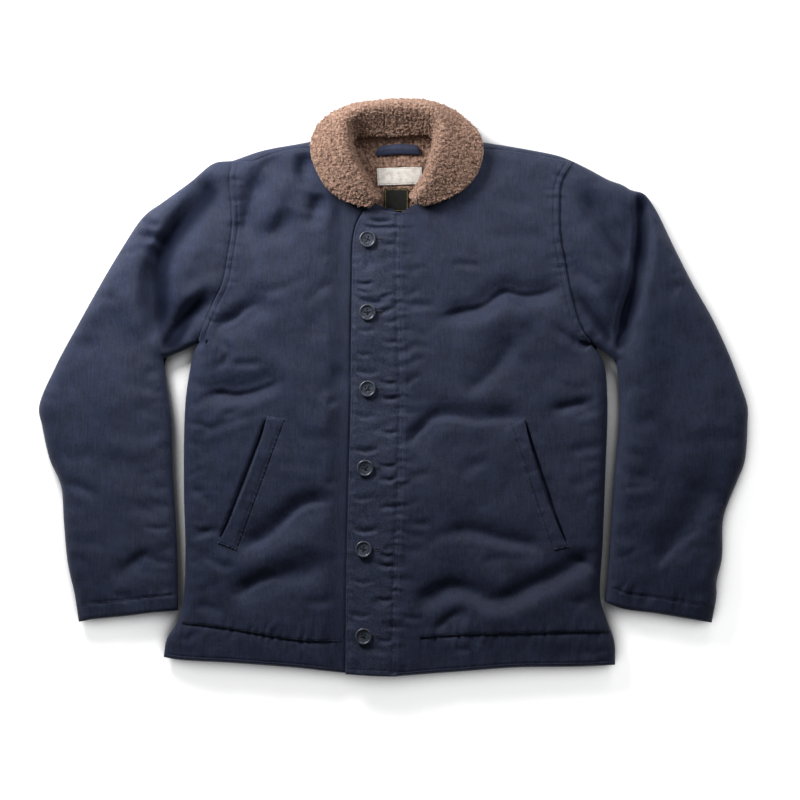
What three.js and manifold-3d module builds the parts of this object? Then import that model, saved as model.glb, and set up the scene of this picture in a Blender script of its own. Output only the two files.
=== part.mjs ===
// A pile-lined deck jacket laid flat on its back with its front up, at its real size in millimetres.
// +X is across, +Y is towards the collar and +Z is up from the surface that it lies on. Left and
// right are the wearer's, so the right front and the right sleeve are at -X. The back lies on the
// surface, the two fronts lie on it, and each sleeve is an upper and an under piece. All upper
// pieces follow one height map, which holds the folds, and roll down to the seams at their edges.
import * as THREE from "three";
import { mergeVertices } from "three/addons/utils/BufferGeometryUtils.js";
import Module from "manifold-3d";

const wasm = await Module();
wasm.setup();

// Driving sizes
const WALL = 11; // jungle cloth with its pile lining
const PLACKET_WALL = 5; // cloth and facing, with no pile
const SEAM_GAP = 0.8; // between pieces that are sewn together
const FOLD_GAP = 0.3; // between the upper and the under piece at a folded edge
const SEAM_HEIGHT = 12; // height of the side and sleeve seams
const TOP_HEIGHT = 26; // usual height of the upper cloth
const ROLL = 20; // how far from a folded edge the cloth is round
const LAYER_CLEAR = WALL + 1.3; // lowest place for the inside of an upper piece
const LEAST_TOP = 17.5; // the deepest trough leaves the cloth this high
const PLACKET_STEP = PLACKET_WALL + 1.4; // the right front lies this much lower under the placket
const PLACKET_EDGE = { x: -54, lean: -7 }; // its free edge, and how far it leans out at the hem
const MIDDLE = { x: -22, halfWidth: 60, rise: 1.5, firmness: 0.75, least: 6 }; // the doubled cloth
const HEM_DROP = 3; // the turned hem and cuff are pressed flatter
const CUFF_DROP = 2;
const WELT_WALL = 2.2;
const REST_GAP = 0.4; // between a panel and what is sewn on it
const BUTTON_DIAMETER = 22.5;
const BUTTON_HEIGHT = 4;
const BUTTON_HOLE = { radius: 1.1, spacing: 4.6 };
const COLLAR_WALL = 10;
const UNDERCOLLAR_WALL = 1.8;
const COLLAR_STATIONS = 34;
const LINING_TOP = WALL + 4.3;
const LOOP = { x: 6, y: 302, length: 56, width: 13, wall: 2.2, stand: 1, bow: 2.5, slope: 2 };
const LABELS = {
  label_white: { x: 8, y: 270, width: 57, height: 22, turn: 0.035 },
  label_black: { x: 4, y: 243, width: 20, height: 17, turn: 0 },
};
const LABEL_WALL = 0.8;

// Outline of the garment as it lies. Every table's columns are x, y.
const RIGHT = {
  shoulder: [[-70, 318], [-96, 316], [-119, 312], [-168, 303], [-206, 290]],
  sleeveOuter: [
    [-206, 290], [-230, 287], [-260, 263], [-297, 236], [-319, 220], [-350, 175], [-404, 81],
    [-434, 25], [-455, -27], [-451, -50], [-441, -94], [-427, -126], [-423, -175], [-418, -227],
    [-409, -268], [-404, -302],
  ],
  underarm: [[-250, 56], [-273, 45], [-295, 36]],
  sleeveInner: [[-295, 36], [-290, 2], [-285, -40], [-283, -105], [-277, -219], [-276, -287]],
  cuff: [[-404, -302], [-391, -299], [-342, -294], [-311, -290], [-276, -287]],
  armhole: [
    [-206, 290], [-209, 268], [-207, 236], [-206, 204], [-211, 170], [-218, 133], [-231, 106],
    [-245, 72], [-250, 56],
  ],
  side: [
    [-250, 56], [-256, 44], [-265, -2], [-268, -37], [-269, -129], [-267, -220], [-270, -273],
    [-278, -303], [-291, -324], [-295, -347],
  ],
  shoulderSeam: [[-206, 290], [-196, 289], [-180, 289], [-158, 297], [-132, 304], [-100, 306]],
  neckline: [[-100, 306], [-84, 300], [-70, 286], [-58, 266], [-40, 247], [-22, 234], [2, 226]],
  frontEdge: [[2, 226], [2, 100], [2, -50], [0, -200], [-4, -369]],
  hem: [[-295, -347], [-277, -350], [-208, -354], [-153, -358], [-117, -361], [-62, -367], [-4, -369]],
};
const LEFT = {
  shoulder: [[70, 320], [96, 317], [120, 313], [175, 304], [213, 296], [231, 289]],
  sleeveOuter: [
    [231, 289], [253, 278], [277, 265], [294, 259], [306, 252], [321, 248], [336, 229],
    [360, 180], [385, 131], [409, 89], [431, 42], [444, 8], [455, -26], [455, -45], [451, -97],
    [442, -120], [426, -160], [423, -175], [422, -220], [415, -251], [415, -268], [409, -303],
  ],
  underarm: [[254, 55], [271, 44], [286, 33]],
  sleeveInner: [[286, 33], [291, -17], [283, -122], [274, -253], [271, -276]],
  cuff: [[409, -303], [375, -297], [332, -290], [295, -285], [271, -276]],
  armhole: [[231, 289], [215, 261], [212, 226], [213, 194], [218, 165], [230, 106], [240, 76], [254, 55]],
  side: [
    [254, 55], [265, 41], [271, 28], [275, -17], [272, -122], [269, -200], [266, -273], [274, -299],
    [284, -328], [285, -357],
  ],
  shoulderSeam: [[231, 289], [213, 291], [175, 298], [140, 303], [104, 304]],
  neckline: [[104, 304], [90, 297], [76, 284], [62, 266], [48, 250], [30, 235], [9.6, 222]],
  frontEdge: [
    [9.6, 222], [8.6, 167], [9.6, 88], [12.6, 8], [9.6, -148], [4.6, -253], [3.6, -326], [3.6, -371],
  ],
  hem: [[285, -357], [234, -359], [156, -360], [87, -365], [3.6, -371]],
};
const BACK_NECK = [[-70, 318], [-50, 324], [0, 323], [50, 325], [70, 320]];
const BACK_HEM = [[-295, -347], [-208, -352], [-117, -359], [0, -368], [156, -358], [285, -357]];
const PLACKET = {
  edge: [
    [-38, 224], [-46, 210], [-51, 190], [-53, 127], [-54, 49], [-54, -4], [-57, -122],
    [-60, -253], [-61, -368],
  ],
  seam: [[9, 222], [8, 167], [9, 88], [12, 8], [9, -148], [4, -253], [3, -326], [3, -371]],
  top: [[-38, 224], [-15, 226], [9, 222]],
  hem: [[-61, -368], [-30, -370], [3, -371]],
};

// Folds: a trough or ridge along a line of x, y points, with its half width and its lift.
const FOLDS = [
  // right front
  { line: [[-166, 278], [-182, 235], [-198, 178]], width: 15, lift: -7 },
  { line: [[-137, 278], [-158, 225], [-170, 200]], width: 17, lift: 4 },
  { line: [[-114, 302], [-117, 262]], width: 12, lift: -8 },
  { line: [[-95, 248], [-101, 218]], width: 12, lift: -7 },
  { line: [[-106, 216], [-150, 200], [-200, 168]], width: 15, lift: -5 },
  { line: [[-150, 118], [-190, 92], [-243, 66]], width: 15, lift: -8 },
  { line: [[-137, 22], [-172, 0], [-250, -12]], width: 16, lift: -7 },
  { line: [[-66, 100], [-96, 84], [-110, 62]], width: 14, lift: -4 },
  { line: [[-62, 30], [-76, 4], [-100, -18]], width: 14, lift: -5 },
  { line: [[-70, -146], [-113, -150], [-147, -175], [-199, -212]], width: 16, lift: -8 },
  { line: [[-90, -186], [-150, -212], [-210, -240]], width: 18, lift: 5 },
  { line: [[-70, -218], [-122, -240], [-158, -247], [-216, -270]], width: 15, lift: -7 },
  // left front
  { line: [[222, 134], [179, 116], [138, 121], [110, 100], [60, 86]], width: 14, lift: -8 },
  { line: [[190, 92], [140, 90], [90, 62]], width: 19, lift: 5 },
  { line: [[165, 73], [134, 30], [86, -15]], width: 16, lift: -4 },
  { line: [[171, -40], [116, -36], [60, -35], [36, -56], [22, -88]], width: 14, lift: -8 },
  { line: [[266, -12], [233, -24], [190, -36]], width: 13, lift: -5 },
  { line: [[62, -187], [98, -185], [143, -194], [200, -210]], width: 15, lift: -5 },
  {
    line: [[264, -220], [235, -228], [188, -250], [135, -273], [109, -263], [71, -259], [24, -288]],
    width: 14,
    lift: -9,
  },
  { line: [[200, -276], [150, -296], [100, -292]], width: 16, lift: 4 },
  { line: [[107, -280], [80, -296], [50, -318]], width: 12, lift: -5 },
  // right sleeve
  {
    line: [[-238, 278], [-258, 239], [-274, 204], [-297, 170], [-309, 138], [-305, 100], [-292, 62]],
    width: 15,
    lift: -11,
  },
  { line: [[-240, 240], [-256, 190], [-274, 130], [-276, 90]], width: 22, lift: 7 },
  { line: [[-238, 114], [-268, 88], [-290, 58]], width: 12, lift: -8 },
  { line: [[-300, 222], [-330, 160], [-352, 90], [-350, 0], [-346, -100]], width: 34, lift: 5 },
  { line: [[-312, -214], [-340, -236], [-366, -246]], width: 14, lift: -5 },
  // left sleeve
  {
    line: [[319, 250], [311, 204], [314, 172], [306, 136], [296, 98], [286, 50]],
    width: 14,
    lift: -11,
  },
  { line: [[344, 206], [336, 140], [322, 60], [314, -40], [306, -160]], width: 24, lift: 6 },
  { line: [[240, 252], [262, 219], [287, 185], [304, 150]], width: 13, lift: -7 },
  { line: [[236, 210], [262, 150], [278, 100]], width: 18, lift: 5 },
  { line: [[412, -118], [380, -165], [350, -201], [326, -226]], width: 20, lift: -7 },
];

// Collar stations from its right front end round the back to its left front end: the outer edge
// (ox, oy) and the height that it lies at, the crest (cx, cy, cz), and the neck seam (sx, sy, sz).
const COLLAR = [
  { ox: -27, oy: 228, oz: 26, cx: -15, cy: 237, cz: 38, sx: -10, sy: 240, sz: 23 },
  { ox: -52, oy: 233, oz: 26, cx: -27, cy: 247, cz: 46, sx: -20, sy: 251, sz: 21 },
  { ox: -79, oy: 247, oz: 26, cx: -43, cy: 265, cz: 52, sx: -35, sy: 269, sz: 21 },
  { ox: -97, oy: 272, oz: 26, cx: -54, cy: 284, cz: 55, sx: -45, sy: 286, sz: 21 },
  { ox: -106, oy: 301, oz: 25, cx: -61, cy: 306, cz: 57, sx: -52, sy: 303, sz: 21 },
  { ox: -102, oy: 325, oz: 17, cx: -63, cy: 327, cz: 56, sx: -53, sy: 315, sz: 21 },
  { ox: -85, oy: 345, oz: 8, cx: -58, cy: 342, cz: 54, sx: -45, sy: 321, sz: 21 },
  { ox: -58, oy: 359, oz: 1, cx: -42, cy: 350, cz: 52, sx: -29, sy: 320, sz: 21 },
  { ox: -26, oy: 365, oz: 0, cx: -20, cy: 354, cz: 50, sx: -11, sy: 319, sz: 21 },
  { ox: 12, oy: 367, oz: 0, cx: 10, cy: 356, cz: 50, sx: 7, sy: 320, sz: 21 },
  { ox: 46, oy: 365, oz: 1, cx: 37, cy: 354, cz: 51, sx: 26, sy: 322, sz: 21 },
  { ox: 74, oy: 355, oz: 8, cx: 55, cy: 345, cz: 53, sx: 43, sy: 323, sz: 21 },
  { ox: 96, oy: 339, oz: 16, cx: 62, cy: 330, cz: 55, sx: 52, sy: 317, sz: 21 },
  { ox: 111, oy: 322, oz: 24, cx: 61, cy: 313, cz: 56, sx: 52, sy: 306, sz: 21 },
  { ox: 115, oy: 299, oz: 26, cx: 56, cy: 296, cz: 56, sx: 48, sy: 292, sz: 21 },
  { ox: 108, oy: 273, oz: 26, cx: 46, cy: 276, cz: 54, sx: 39, sy: 276, sz: 21 },
  { ox: 90, oy: 251, oz: 26, cx: 35, cy: 257, cz: 51, sx: 29, sy: 260, sz: 21 },
  { ox: 66, oy: 238, oz: 28, cx: 25, cy: 244, cz: 47, sx: 20, sy: 248, sz: 22 },
  { ox: 38, oy: 229, oz: 29, cx: 19, cy: 237, cz: 41, sx: 14, sy: 241, sz: 24 },
];

// Button centres, from the neck down
const BUTTONS = [[-33, 188], [-33, 95], [-33, -3], [-36, -104], [-38, -208], [-38, -319]];

// Pocket welts: the open edge, then the stitched edge, both from the top down
const WELTS = {
  right: { open: [[-162, -38], [-224, -199]], sewn: [[-140, -42], [-201, -208]] },
  left: { open: [[168, -41], [223, -204]], sewn: [[151, -46], [205, -208]] },
};

// Materials, one for each kind of cloth and fitting
const finish = (color, roughness) => new THREE.MeshStandardMaterial({ color, roughness, metalness: 0 });
const NAVY = finish(0x2c3147, 0.85);
const PILE = finish(0x8c6a58, 1);
const BUTTON = finish(0x2e3338, 0.35);
const WHITE_TAPE = finish(0xd8d4cc, 0.9);
const BLACK_TAPE = finish(0x1c1d1a, 0.9);

const clamp = THREE.MathUtils.clamp;
const smooth = (x, from, to) => THREE.MathUtils.smoothstep((x - from) / (to - from), 0, 1);
const spline = (rows) =>
  new THREE.CatmullRomCurve3(rows.map(([x, y]) => new THREE.Vector3(x, y, 0)), false, "centripetal");

// A border through a table: straight between an even number of points on the table's smooth curve,
// so that two pieces with the same border fit each other whatever else their grids do.
function border(rows, pieces) {
  const points = spline(rows).getSpacedPoints(pieces);
  return (t) => {
    const i = Math.min(Math.floor(t * pieces), pieces - 1);
    return points[i].clone().lerp(points[i + 1], t * pieces - i);
  };
}

// Two borders end to end, which meet where t is at the given place.
const chained = (first, second, place) => (t) =>
  t <= place ? first(t / place) : second((t - place) / (1 - place));

// One curve through several tables, with a corner where they meet.
function joined(...tables) {
  const path = new THREE.CurvePath();
  tables.forEach((rows) => path.add(spline(rows)));
  return path;
}

const moved = (rows, dx, dy = 0) => rows.map(([x, y]) => [x + dx, y + dy]);
const reversed = (rows) => [...rows].reverse();

// The folded edges that round a body piece and a sleeve piece of either half. Each is a list of
// points, taken so that the outside is on the right of each step on the right half.
const foldedEdges = (half) => {
  const shoulder = joined(half.shoulder, half.sleeveOuter).getSpacedPoints(90);
  const body = joined(reversed(half.underarm), half.side).getSpacedPoints(40);
  const sleeve = joined(reversed(half.sleeveInner), reversed(half.underarm)).getSpacedPoints(40);
  return { body: [shoulder, body], sleeve: [shoulder, sleeve] };
};
const EDGES = { right: foldedEdges(RIGHT), left: foldedEdges(LEFT) };
const BODY_EDGES = [...EDGES.right.body, ...EDGES.left.body];
const sleeveEdges = (half) => (half === RIGHT ? EDGES.right.sleeve : EDGES.left.sleeve);

// Distance to the nearest folded edge, and the unit direction out through it.
function nearestEdge(x, y, edges) {
  const side = x < 0 ? 1 : -1;
  let best = { far: Infinity };
  for (const points of edges)
    for (let i = 0; i + 1 < points.length; i++) {
      const a = points[i];
      const dx = points[i + 1].x - a.x;
      const dy = points[i + 1].y - a.y;
      const length = Math.hypot(dx, dy) || 1e-9;
      const t = clamp(((x - a.x) * dx + (y - a.y) * dy) / length ** 2, 0, 1);
      const ex = a.x + t * dx - x;
      const ey = a.y + t * dy - y;
      const far = Math.hypot(ex, ey);
      if (far < best.far) best = { far, ex, ey, nx: (side * dy) / length, ny: (-side * dx) / length };
    }
  const { far, ex, ey, nx, ny } = best;
  const inside = far > 3 || ex * nx + ey * ny > 0.3;
  return inside ? { far, out: [ex / far, ey / far] } : { far: 0, out: [nx, ny] };
}

// Each fold's line as a short list of pieces with their place along it.
const FOLD_LINES = FOLDS.map(({ line, width, lift }) => {
  const points = spline(line).getSpacedPoints(4 * line.length);
  const length = spline(line).getLength();
  return { points, length, width, lift, taper: Math.min(0.35 * length, 30) };
});

function foldLift(x, y) {
  let lift = 0;
  for (const fold of FOLD_LINES) {
    let best = Infinity;
    let along = 0;
    const step = fold.length / (fold.points.length - 1);
    for (let i = 0; i + 1 < fold.points.length; i++) {
      const a = fold.points[i];
      const b = fold.points[i + 1];
      const dx = b.x - a.x;
      const dy = b.y - a.y;
      const t = clamp(((x - a.x) * dx + (y - a.y) * dy) / (dx * dx + dy * dy), 0, 1);
      const far = Math.hypot(a.x + t * dx - x, a.y + t * dy - y);
      if (far < best) {
        best = far;
        along = (i + t) * step;
      }
    }
    if (best > 3 * fold.width) continue;
    const ends = smooth(along, 0, fold.taper) * smooth(fold.length - along, 0, fold.taper);
    lift += fold.lift * ends * Math.exp(-((best / fold.width) ** 2));
  }
  return lift;
}

// Height of the upper cloth before it rolls down at an edge.
function topHeight(x, y) {
  const across = Math.abs(x - MIDDLE.x);
  const middle = Math.exp(-((across / MIDDLE.halfWidth) ** 2)) * smooth(across, 150, 40);
  const hem = HEM_DROP * smooth(y, -300, -350) * (1 - middle);
  const cuff = CUFF_DROP * smooth(y, -230, -290) * smooth(Math.abs(x), 260, 300);
  const folds = foldLift(x, y) * (1 - MIDDLE.firmness * middle);
  const height = TOP_HEIGHT + MIDDLE.rise * middle - hem - cuff + folds;
  const least = LEAST_TOP + MIDDLE.least * middle;
  const soft = 2;
  return least + soft * Math.log(1 + Math.exp((height - least) / soft));
}

// How far the right front is pressed down beside and under the placket.
function underPlacket(x, y) {
  const edge = PLACKET_EDGE.x + PLACKET_EDGE.lean * smooth(y, 50, -368);
  return PLACKET_STEP * smooth(x, edge - 34, edge - 9);
}

// A point of the upper cloth, and the direction that its wall is laid off along.
function upperPoint(x, y, edges = BODY_EDGES, press = 0) {
  const { far, out } = nearestEdge(x, y, edges);
  const across = 1 - Math.min(far / ROLL, 1);
  const up = Math.sqrt(1 - across * across);
  const step = 1;
  const gx = (topHeight(x + step, y) - topHeight(x - step, y)) / (2 * step);
  const gy = (topHeight(x, y + step) - topHeight(x, y - step)) / (2 * step);
  const normal = new THREE.Vector3(-gx, -gy, 1).normalize().multiplyScalar(up);
  normal.x += across * out[0];
  normal.y += across * out[1];
  const height = SEAM_HEIGHT + FOLD_GAP / 2 + (topHeight(x, y) - press - SEAM_HEIGHT) * up;
  return { point: new THREE.Vector3(x, y, height), normal };
}

// The same for the cloth that lies on the surface.
function lowerPoint(x, y, edges) {
  const { far, out } = nearestEdge(x, y, edges);
  const across = 1 - Math.min(far / ROLL, 1);
  const up = Math.sqrt(1 - across * across);
  return {
    point: new THREE.Vector3(x, y, (SEAM_HEIGHT - FOLD_GAP / 2) * (1 - up)),
    normal: new THREE.Vector3(across * out[0], across * out[1], -up),
  };
}

// A patch between four border curves: top and bottom run with u, first and last run with v.
function patch({ top, bottom, first, last }) {
  const corner = { a: top(0), b: top(1), c: bottom(0), d: bottom(1) };
  return (u, v) => {
    const p = new THREE.Vector3();
    p.addScaledVector(top(u), 1 - v).addScaledVector(bottom(u), v);
    p.addScaledVector(first(v), 1 - u).addScaledVector(last(v), u);
    p.addScaledVector(corner.a, -(1 - u) * (1 - v)).addScaledVector(corner.b, -u * (1 - v));
    p.addScaledVector(corner.c, -(1 - u) * v).addScaledVector(corner.d, -u * v);
    return p;
  };
}

const steps = (count, from = 0, to = 1) =>
  Array.from({ length: count + 1 }, (_, i) => from + ((to - from) * i) / count);

// Steps from an edge at 0 over a roll, which are closest where the cloth turns fastest.
const rollSteps = (roll) => [0, 0.1, 0.36, 0.68].map((s) => s * roll);

// Where the armhole ends and the side begins down a body piece, and the shoulder along its top.
const UNDERARM_PLACE = 0.36;
const NECK_PLACE = 0.44;
const ARMHOLE_PIECES = 8;
const FRONT_ROLL = 0.07;
const BACK_ROLL = 0.035;
const SLEEVE_ROLL = 1 / ARMHOLE_PIECES;
const rolledBothSides = (roll, count) => [
  ...rollSteps(roll), ...steps(count, roll, 1 - roll), ...reversed(rollSteps(roll)).map((s) => 1 - s),
];
const FRONT_ACROSS = [
  ...rollSteps(FRONT_ROLL), ...steps(4, FRONT_ROLL, NECK_PLACE), ...steps(8, NECK_PLACE, 1).slice(1),
];
const SLEEVE_ACROSS = rolledBothSides(SLEEVE_ROLL, 6);
const bodyDown = (sidePieces) => [
  ...SLEEVE_ACROSS.map((s) => s * UNDERARM_PLACE), ...steps(sidePieces, UNDERARM_PLACE, 1).slice(1),
];

// A closed wall between two grids of points that have the same rows and columns.
function wallGeometry(outer, inner) {
  const rows = outer.length;
  const columns = outer[0].length;
  const positions = [...outer.flat(), ...inner.flat()].flatMap((p) => [p.x, p.y, p.z]);
  const at = (side, i, j) => side * rows * columns + i * columns + j;
  const index = [];
  const quad = (a, b, c, d) => index.push(a, b, c, a, c, d);
  for (let i = 0; i + 1 < rows; i++)
    for (let j = 0; j + 1 < columns; j++) {
      quad(at(0, i, j), at(0, i + 1, j), at(0, i + 1, j + 1), at(0, i, j + 1));
      quad(at(1, i, j), at(1, i, j + 1), at(1, i + 1, j + 1), at(1, i + 1, j));
    }
  for (let i = 0; i + 1 < rows; i++) {
    quad(at(0, i, 0), at(1, i, 0), at(1, i + 1, 0), at(0, i + 1, 0));
    quad(at(0, i + 1, columns - 1), at(1, i + 1, columns - 1), at(1, i, columns - 1), at(0, i, columns - 1));
  }
  for (let j = 0; j + 1 < columns; j++) {
    quad(at(0, 0, j + 1), at(1, 0, j + 1), at(1, 0, j), at(0, 0, j));
    quad(at(0, rows - 1, j), at(1, rows - 1, j), at(1, rows - 1, j + 1), at(0, rows - 1, j + 1));
  }
  const geometry = new THREE.BufferGeometry();
  geometry.setAttribute("position", new THREE.Float32BufferAttribute(positions, 3));
  geometry.setIndex(index);
  if (signedVolume(geometry) < 0) geometry.setIndex(reversed(index));
  return geometry;
}

function signedVolume(geometry) {
  const p = geometry.getAttribute("position");
  const index = geometry.getIndex().array;
  const corner = (i) => new THREE.Vector3().fromBufferAttribute(p, index[i]);
  let volume = 0;
  for (let i = 0; i < index.length; i += 3)
    volume += corner(i).dot(corner(i + 1).cross(corner(i + 2))) / 6;
  return volume;
}

// The direction along the armhole at a point of its seam, and nothing elsewhere. The two pieces
// there have the ends of their walls in one plane along it.
const SEAM_STEP = 0.004;
const bodyArmhole = (at, u, v) => {
  const onSeam = (u === 0 || u === 1) && v <= UNDERARM_PLACE;
  return onSeam ? at(u, v + SEAM_STEP).sub(at(u, Math.max(v - SEAM_STEP, 0))) : null;
};
const frontArmhole = (at, u, v) => (u === 0 ? bodyArmhole(at, u, v) : null);
const sleeveArmhole = (at, u, v) => {
  const reach = SEAM_STEP / UNDERARM_PLACE;
  return v === 0 ? at(Math.min(u + reach, 1), 0).sub(at(Math.max(u - reach, 0), 0)) : null;
};

function wallEnd(normal, along) {
  if (!along) return normal;
  along.setZ(0).normalize();
  const share = normal.x * along.x + normal.y * along.y;
  return new THREE.Vector3(share * along.x, share * along.y, normal.z);
}

// A cloth piece of the upper layer: its wall hangs from the height map, clear of the layer below.
function upperWall(at, us, vs, choices = {}) {
  const { edges = BODY_EDGES, wall = WALL, seam = frontArmhole } = choices;
  const { press = () => 0, lowest = LAYER_CLEAR } = choices;
  const outer = [];
  const inner = [];
  for (const v of vs) {
    const tops = [];
    const bottoms = [];
    for (const u of us) {
      const place = at(u, v);
      const { point, normal } = upperPoint(place.x, place.y, edges, press(place.x, place.y));
      const under = point.clone().addScaledVector(wallEnd(normal, seam(at, u, v)), -wall);
      under.z = Math.max(under.z, lowest);
      tops.push(point);
      bottoms.push(under);
    }
    outer.push(tops);
    inner.push(bottoms);
  }
  return wallGeometry(outer, inner);
}

function lowerWall(at, us, vs, edges, seam) {
  const outer = [];
  const inner = [];
  for (const v of vs) {
    const bottoms = [];
    const tops = [];
    for (const u of us) {
      const place = at(u, v);
      const { point, normal } = lowerPoint(place.x, place.y, edges);
      bottoms.push(point);
      tops.push(point.clone().addScaledVector(wallEnd(normal, seam(at, u, v)), -WALL));
    }
    outer.push(bottoms);
    inner.push(tops);
  }
  return wallGeometry(outer, inner);
}

function solidOf(geometry) {
  const bare = new THREE.BufferGeometry();
  bare.setAttribute("position", geometry.getAttribute("position").clone());
  if (geometry.getIndex()) bare.setIndex(geometry.getIndex().clone());
  const merged = mergeVertices(bare, 1e-4);
  const mesh = new wasm.Mesh({
    numProp: 3,
    vertProperties: new Float32Array(merged.getAttribute("position").array),
    triVerts: new Uint32Array(merged.getIndex().array),
  });
  return new wasm.Manifold(mesh);
}

function geometryOf(solid) {
  const mesh = solid.getMesh();
  const geometry = new THREE.BufferGeometry();
  geometry.setAttribute("position", new THREE.BufferAttribute(mesh.vertProperties, 3));
  geometry.setIndex(new THREE.BufferAttribute(mesh.triVerts, 1));
  return geometry;
}

const jacket = new THREE.Group();

function add(name, geometry, material) {
  const mesh = new THREE.Mesh(geometry, material);
  mesh.name = name;
  jacket.add(mesh);
  mesh.updateMatrixWorld(true);
  return mesh;
}

// Height of a piece that is already made, straight below a place.
function heightOn(mesh, x, y) {
  const ray = new THREE.Raycaster(new THREE.Vector3(x, y, 200), new THREE.Vector3(0, 0, -1));
  const hit = ray.intersectObject(mesh)[0];
  return hit ? hit.point.z : null;
}

function highestOn(mesh, x, y, reach) {
  const around = [[0, 0], [reach, 0], [-reach, 0], [0, reach], [0, -reach]];
  const found = around.map(([dx, dy]) => heightOn(mesh, x + dx, y + dy)).filter((z) => z !== null);
  return Math.max(...found);
}

const armholeOf = (half, gap) =>
  border(moved(half.armhole, half === RIGHT ? gap : -gap), ARMHOLE_PIECES);

const sideOf = (half) =>
  chained(armholeOf(half, SEAM_GAP / 2), border(half.side, 12), UNDERARM_PLACE);

// Back: the piece on the surface, with the strip that comes over each shoulder to its seam.
function makeBack() {
  const neckStart = 0.31;
  const at = patch({
    top: chained(
      border(reversed(RIGHT.shoulder), 4),
      chained(border(BACK_NECK, 6), border(LEFT.shoulder, 4), 0.46),
      neckStart,
    ),
    bottom: border(BACK_HEM, 12),
    first: sideOf(RIGHT),
    last: sideOf(LEFT),
  });
  const across = rolledBothSides(BACK_ROLL, 10);
  const panel = solidOf(lowerWall(at, across, bodyDown(6), BODY_EDGES, bodyArmhole));
  return geometryOf(
    [RIGHT, LEFT].reduce((whole, half) => whole.add(solidOf(shoulderStrip(half))), panel),
  );
}

const topOf = (half, gap) => {
  const drop = gap / 2;
  return chained(
    border(moved(half.shoulderSeam, 0, -drop), 12),
    border(moved(half.neckline, 0, -drop), 16),
    NECK_PLACE,
  );
};

// The strip starts inside the folded edge of the back and comes over to the shoulder seam.
function shoulderStrip(half) {
  const edge = border(reversed(half.shoulder), 12);
  const seam = topOf(half, -SEAM_GAP);
  const outer = [];
  const inner = [];
  for (const u of FRONT_ACROSS.filter((s) => s > 0 && s <= NECK_PLACE)) {
    const along = (u / NECK_PLACE) * 0.8;
    const from = edge(along);
    const to = seam(u);
    const made = [0, 0.06, 0.25, 0.55, 1].map((w) => {
      const p = from.clone().lerp(to, w);
      return upperPoint(p.x, p.y);
    });
    const sunk = { point: made[0].point.clone().setZ(SEAM_HEIGHT - 4), normal: made[0].normal };
    sunk.point.addScaledVector(sunk.normal, -0.6);
    const strip = [sunk, ...made];
    outer.push(strip.map((m) => m.point));
    inner.push(strip.map((m) => m.point.clone().addScaledVector(m.normal, -WALL + 1.2)));
  }
  return wallGeometry(outer, inner);
}

function makeFront(half, options) {
  const at = patch({
    top: topOf(half, SEAM_GAP),
    bottom: border(half.hem, 12),
    first: sideOf(half),
    last: border(half.frontEdge, 16),
  });
  return upperWall(at, FRONT_ACROSS, bodyDown(14), options);
}

function makePlacket() {
  const at = patch({
    top: border(PLACKET.top, 4),
    bottom: border(PLACKET.hem, 4),
    first: border(PLACKET.edge, 25),
    last: border(PLACKET.seam, 25),
  });
  return upperWall(at, steps(4), steps(25), { wall: PLACKET_WALL, lowest: 0, seam: () => null });
}

// A sleeve's patch runs from the armhole down to the cuff, and from its outer to its inner edge.
function sleevePatch(half) {
  return patch({
    top: armholeOf(half, -SEAM_GAP / 2),
    bottom: border(half.cuff, 8),
    first: border(half.sleeveOuter, 40),
    last: chained(border(half.underarm, 4), border(half.sleeveInner, 20), 0.12),
  });
}

const makeUpperSleeve = (half) =>
  upperWall(sleevePatch(half), SLEEVE_ACROSS, steps(20), { edges: sleeveEdges(half), seam: sleeveArmhole });
const makeUnderSleeve = (half) =>
  lowerWall(sleevePatch(half), SLEEVE_ACROSS, steps(13), sleeveEdges(half), sleeveArmhole);

function stationCurve(x, y, z) {
  const points = COLLAR.map((row) => new THREE.Vector3(row[x], row[y], row[z]));
  return new THREE.CatmullRomCurve3(points, false, "centripetal");
}
const COLLAR_OUTER = stationCurve("ox", "oy", "oz");
const COLLAR_CREST = stationCurve("cx", "cy", "cz");
const COLLAR_SEAM = stationCurve("sx", "sy", "sz");

// The middle of the collar's cloth at one station, from its outer edge over the crest to the seam.
function collarLine(place) {
  const outer = COLLAR_OUTER.getPoint(place);
  const crest = COLLAR_CREST.getPoint(place);
  const seam = COLLAR_SEAM.getPoint(place);
  const half = COLLAR_WALL / 2;
  const low = outer.z + half + UNDERCOLLAR_WALL + 1;
  const top = crest.z - half;
  const points = [
    outer.clone().setZ(low),
    outer.clone().lerp(crest, 0.4).setZ(low + 0.42 * (top - low)),
    outer.clone().lerp(crest, 0.78).setZ(low + 0.86 * (top - low)),
    crest.clone().setZ(top),
    crest.clone().lerp(seam, 0.78).setZ(seam.z + 0.6 * (top - seam.z)),
    seam.clone(),
  ];
  return new THREE.CatmullRomCurve3(points, false, "centripetal");
}

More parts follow.
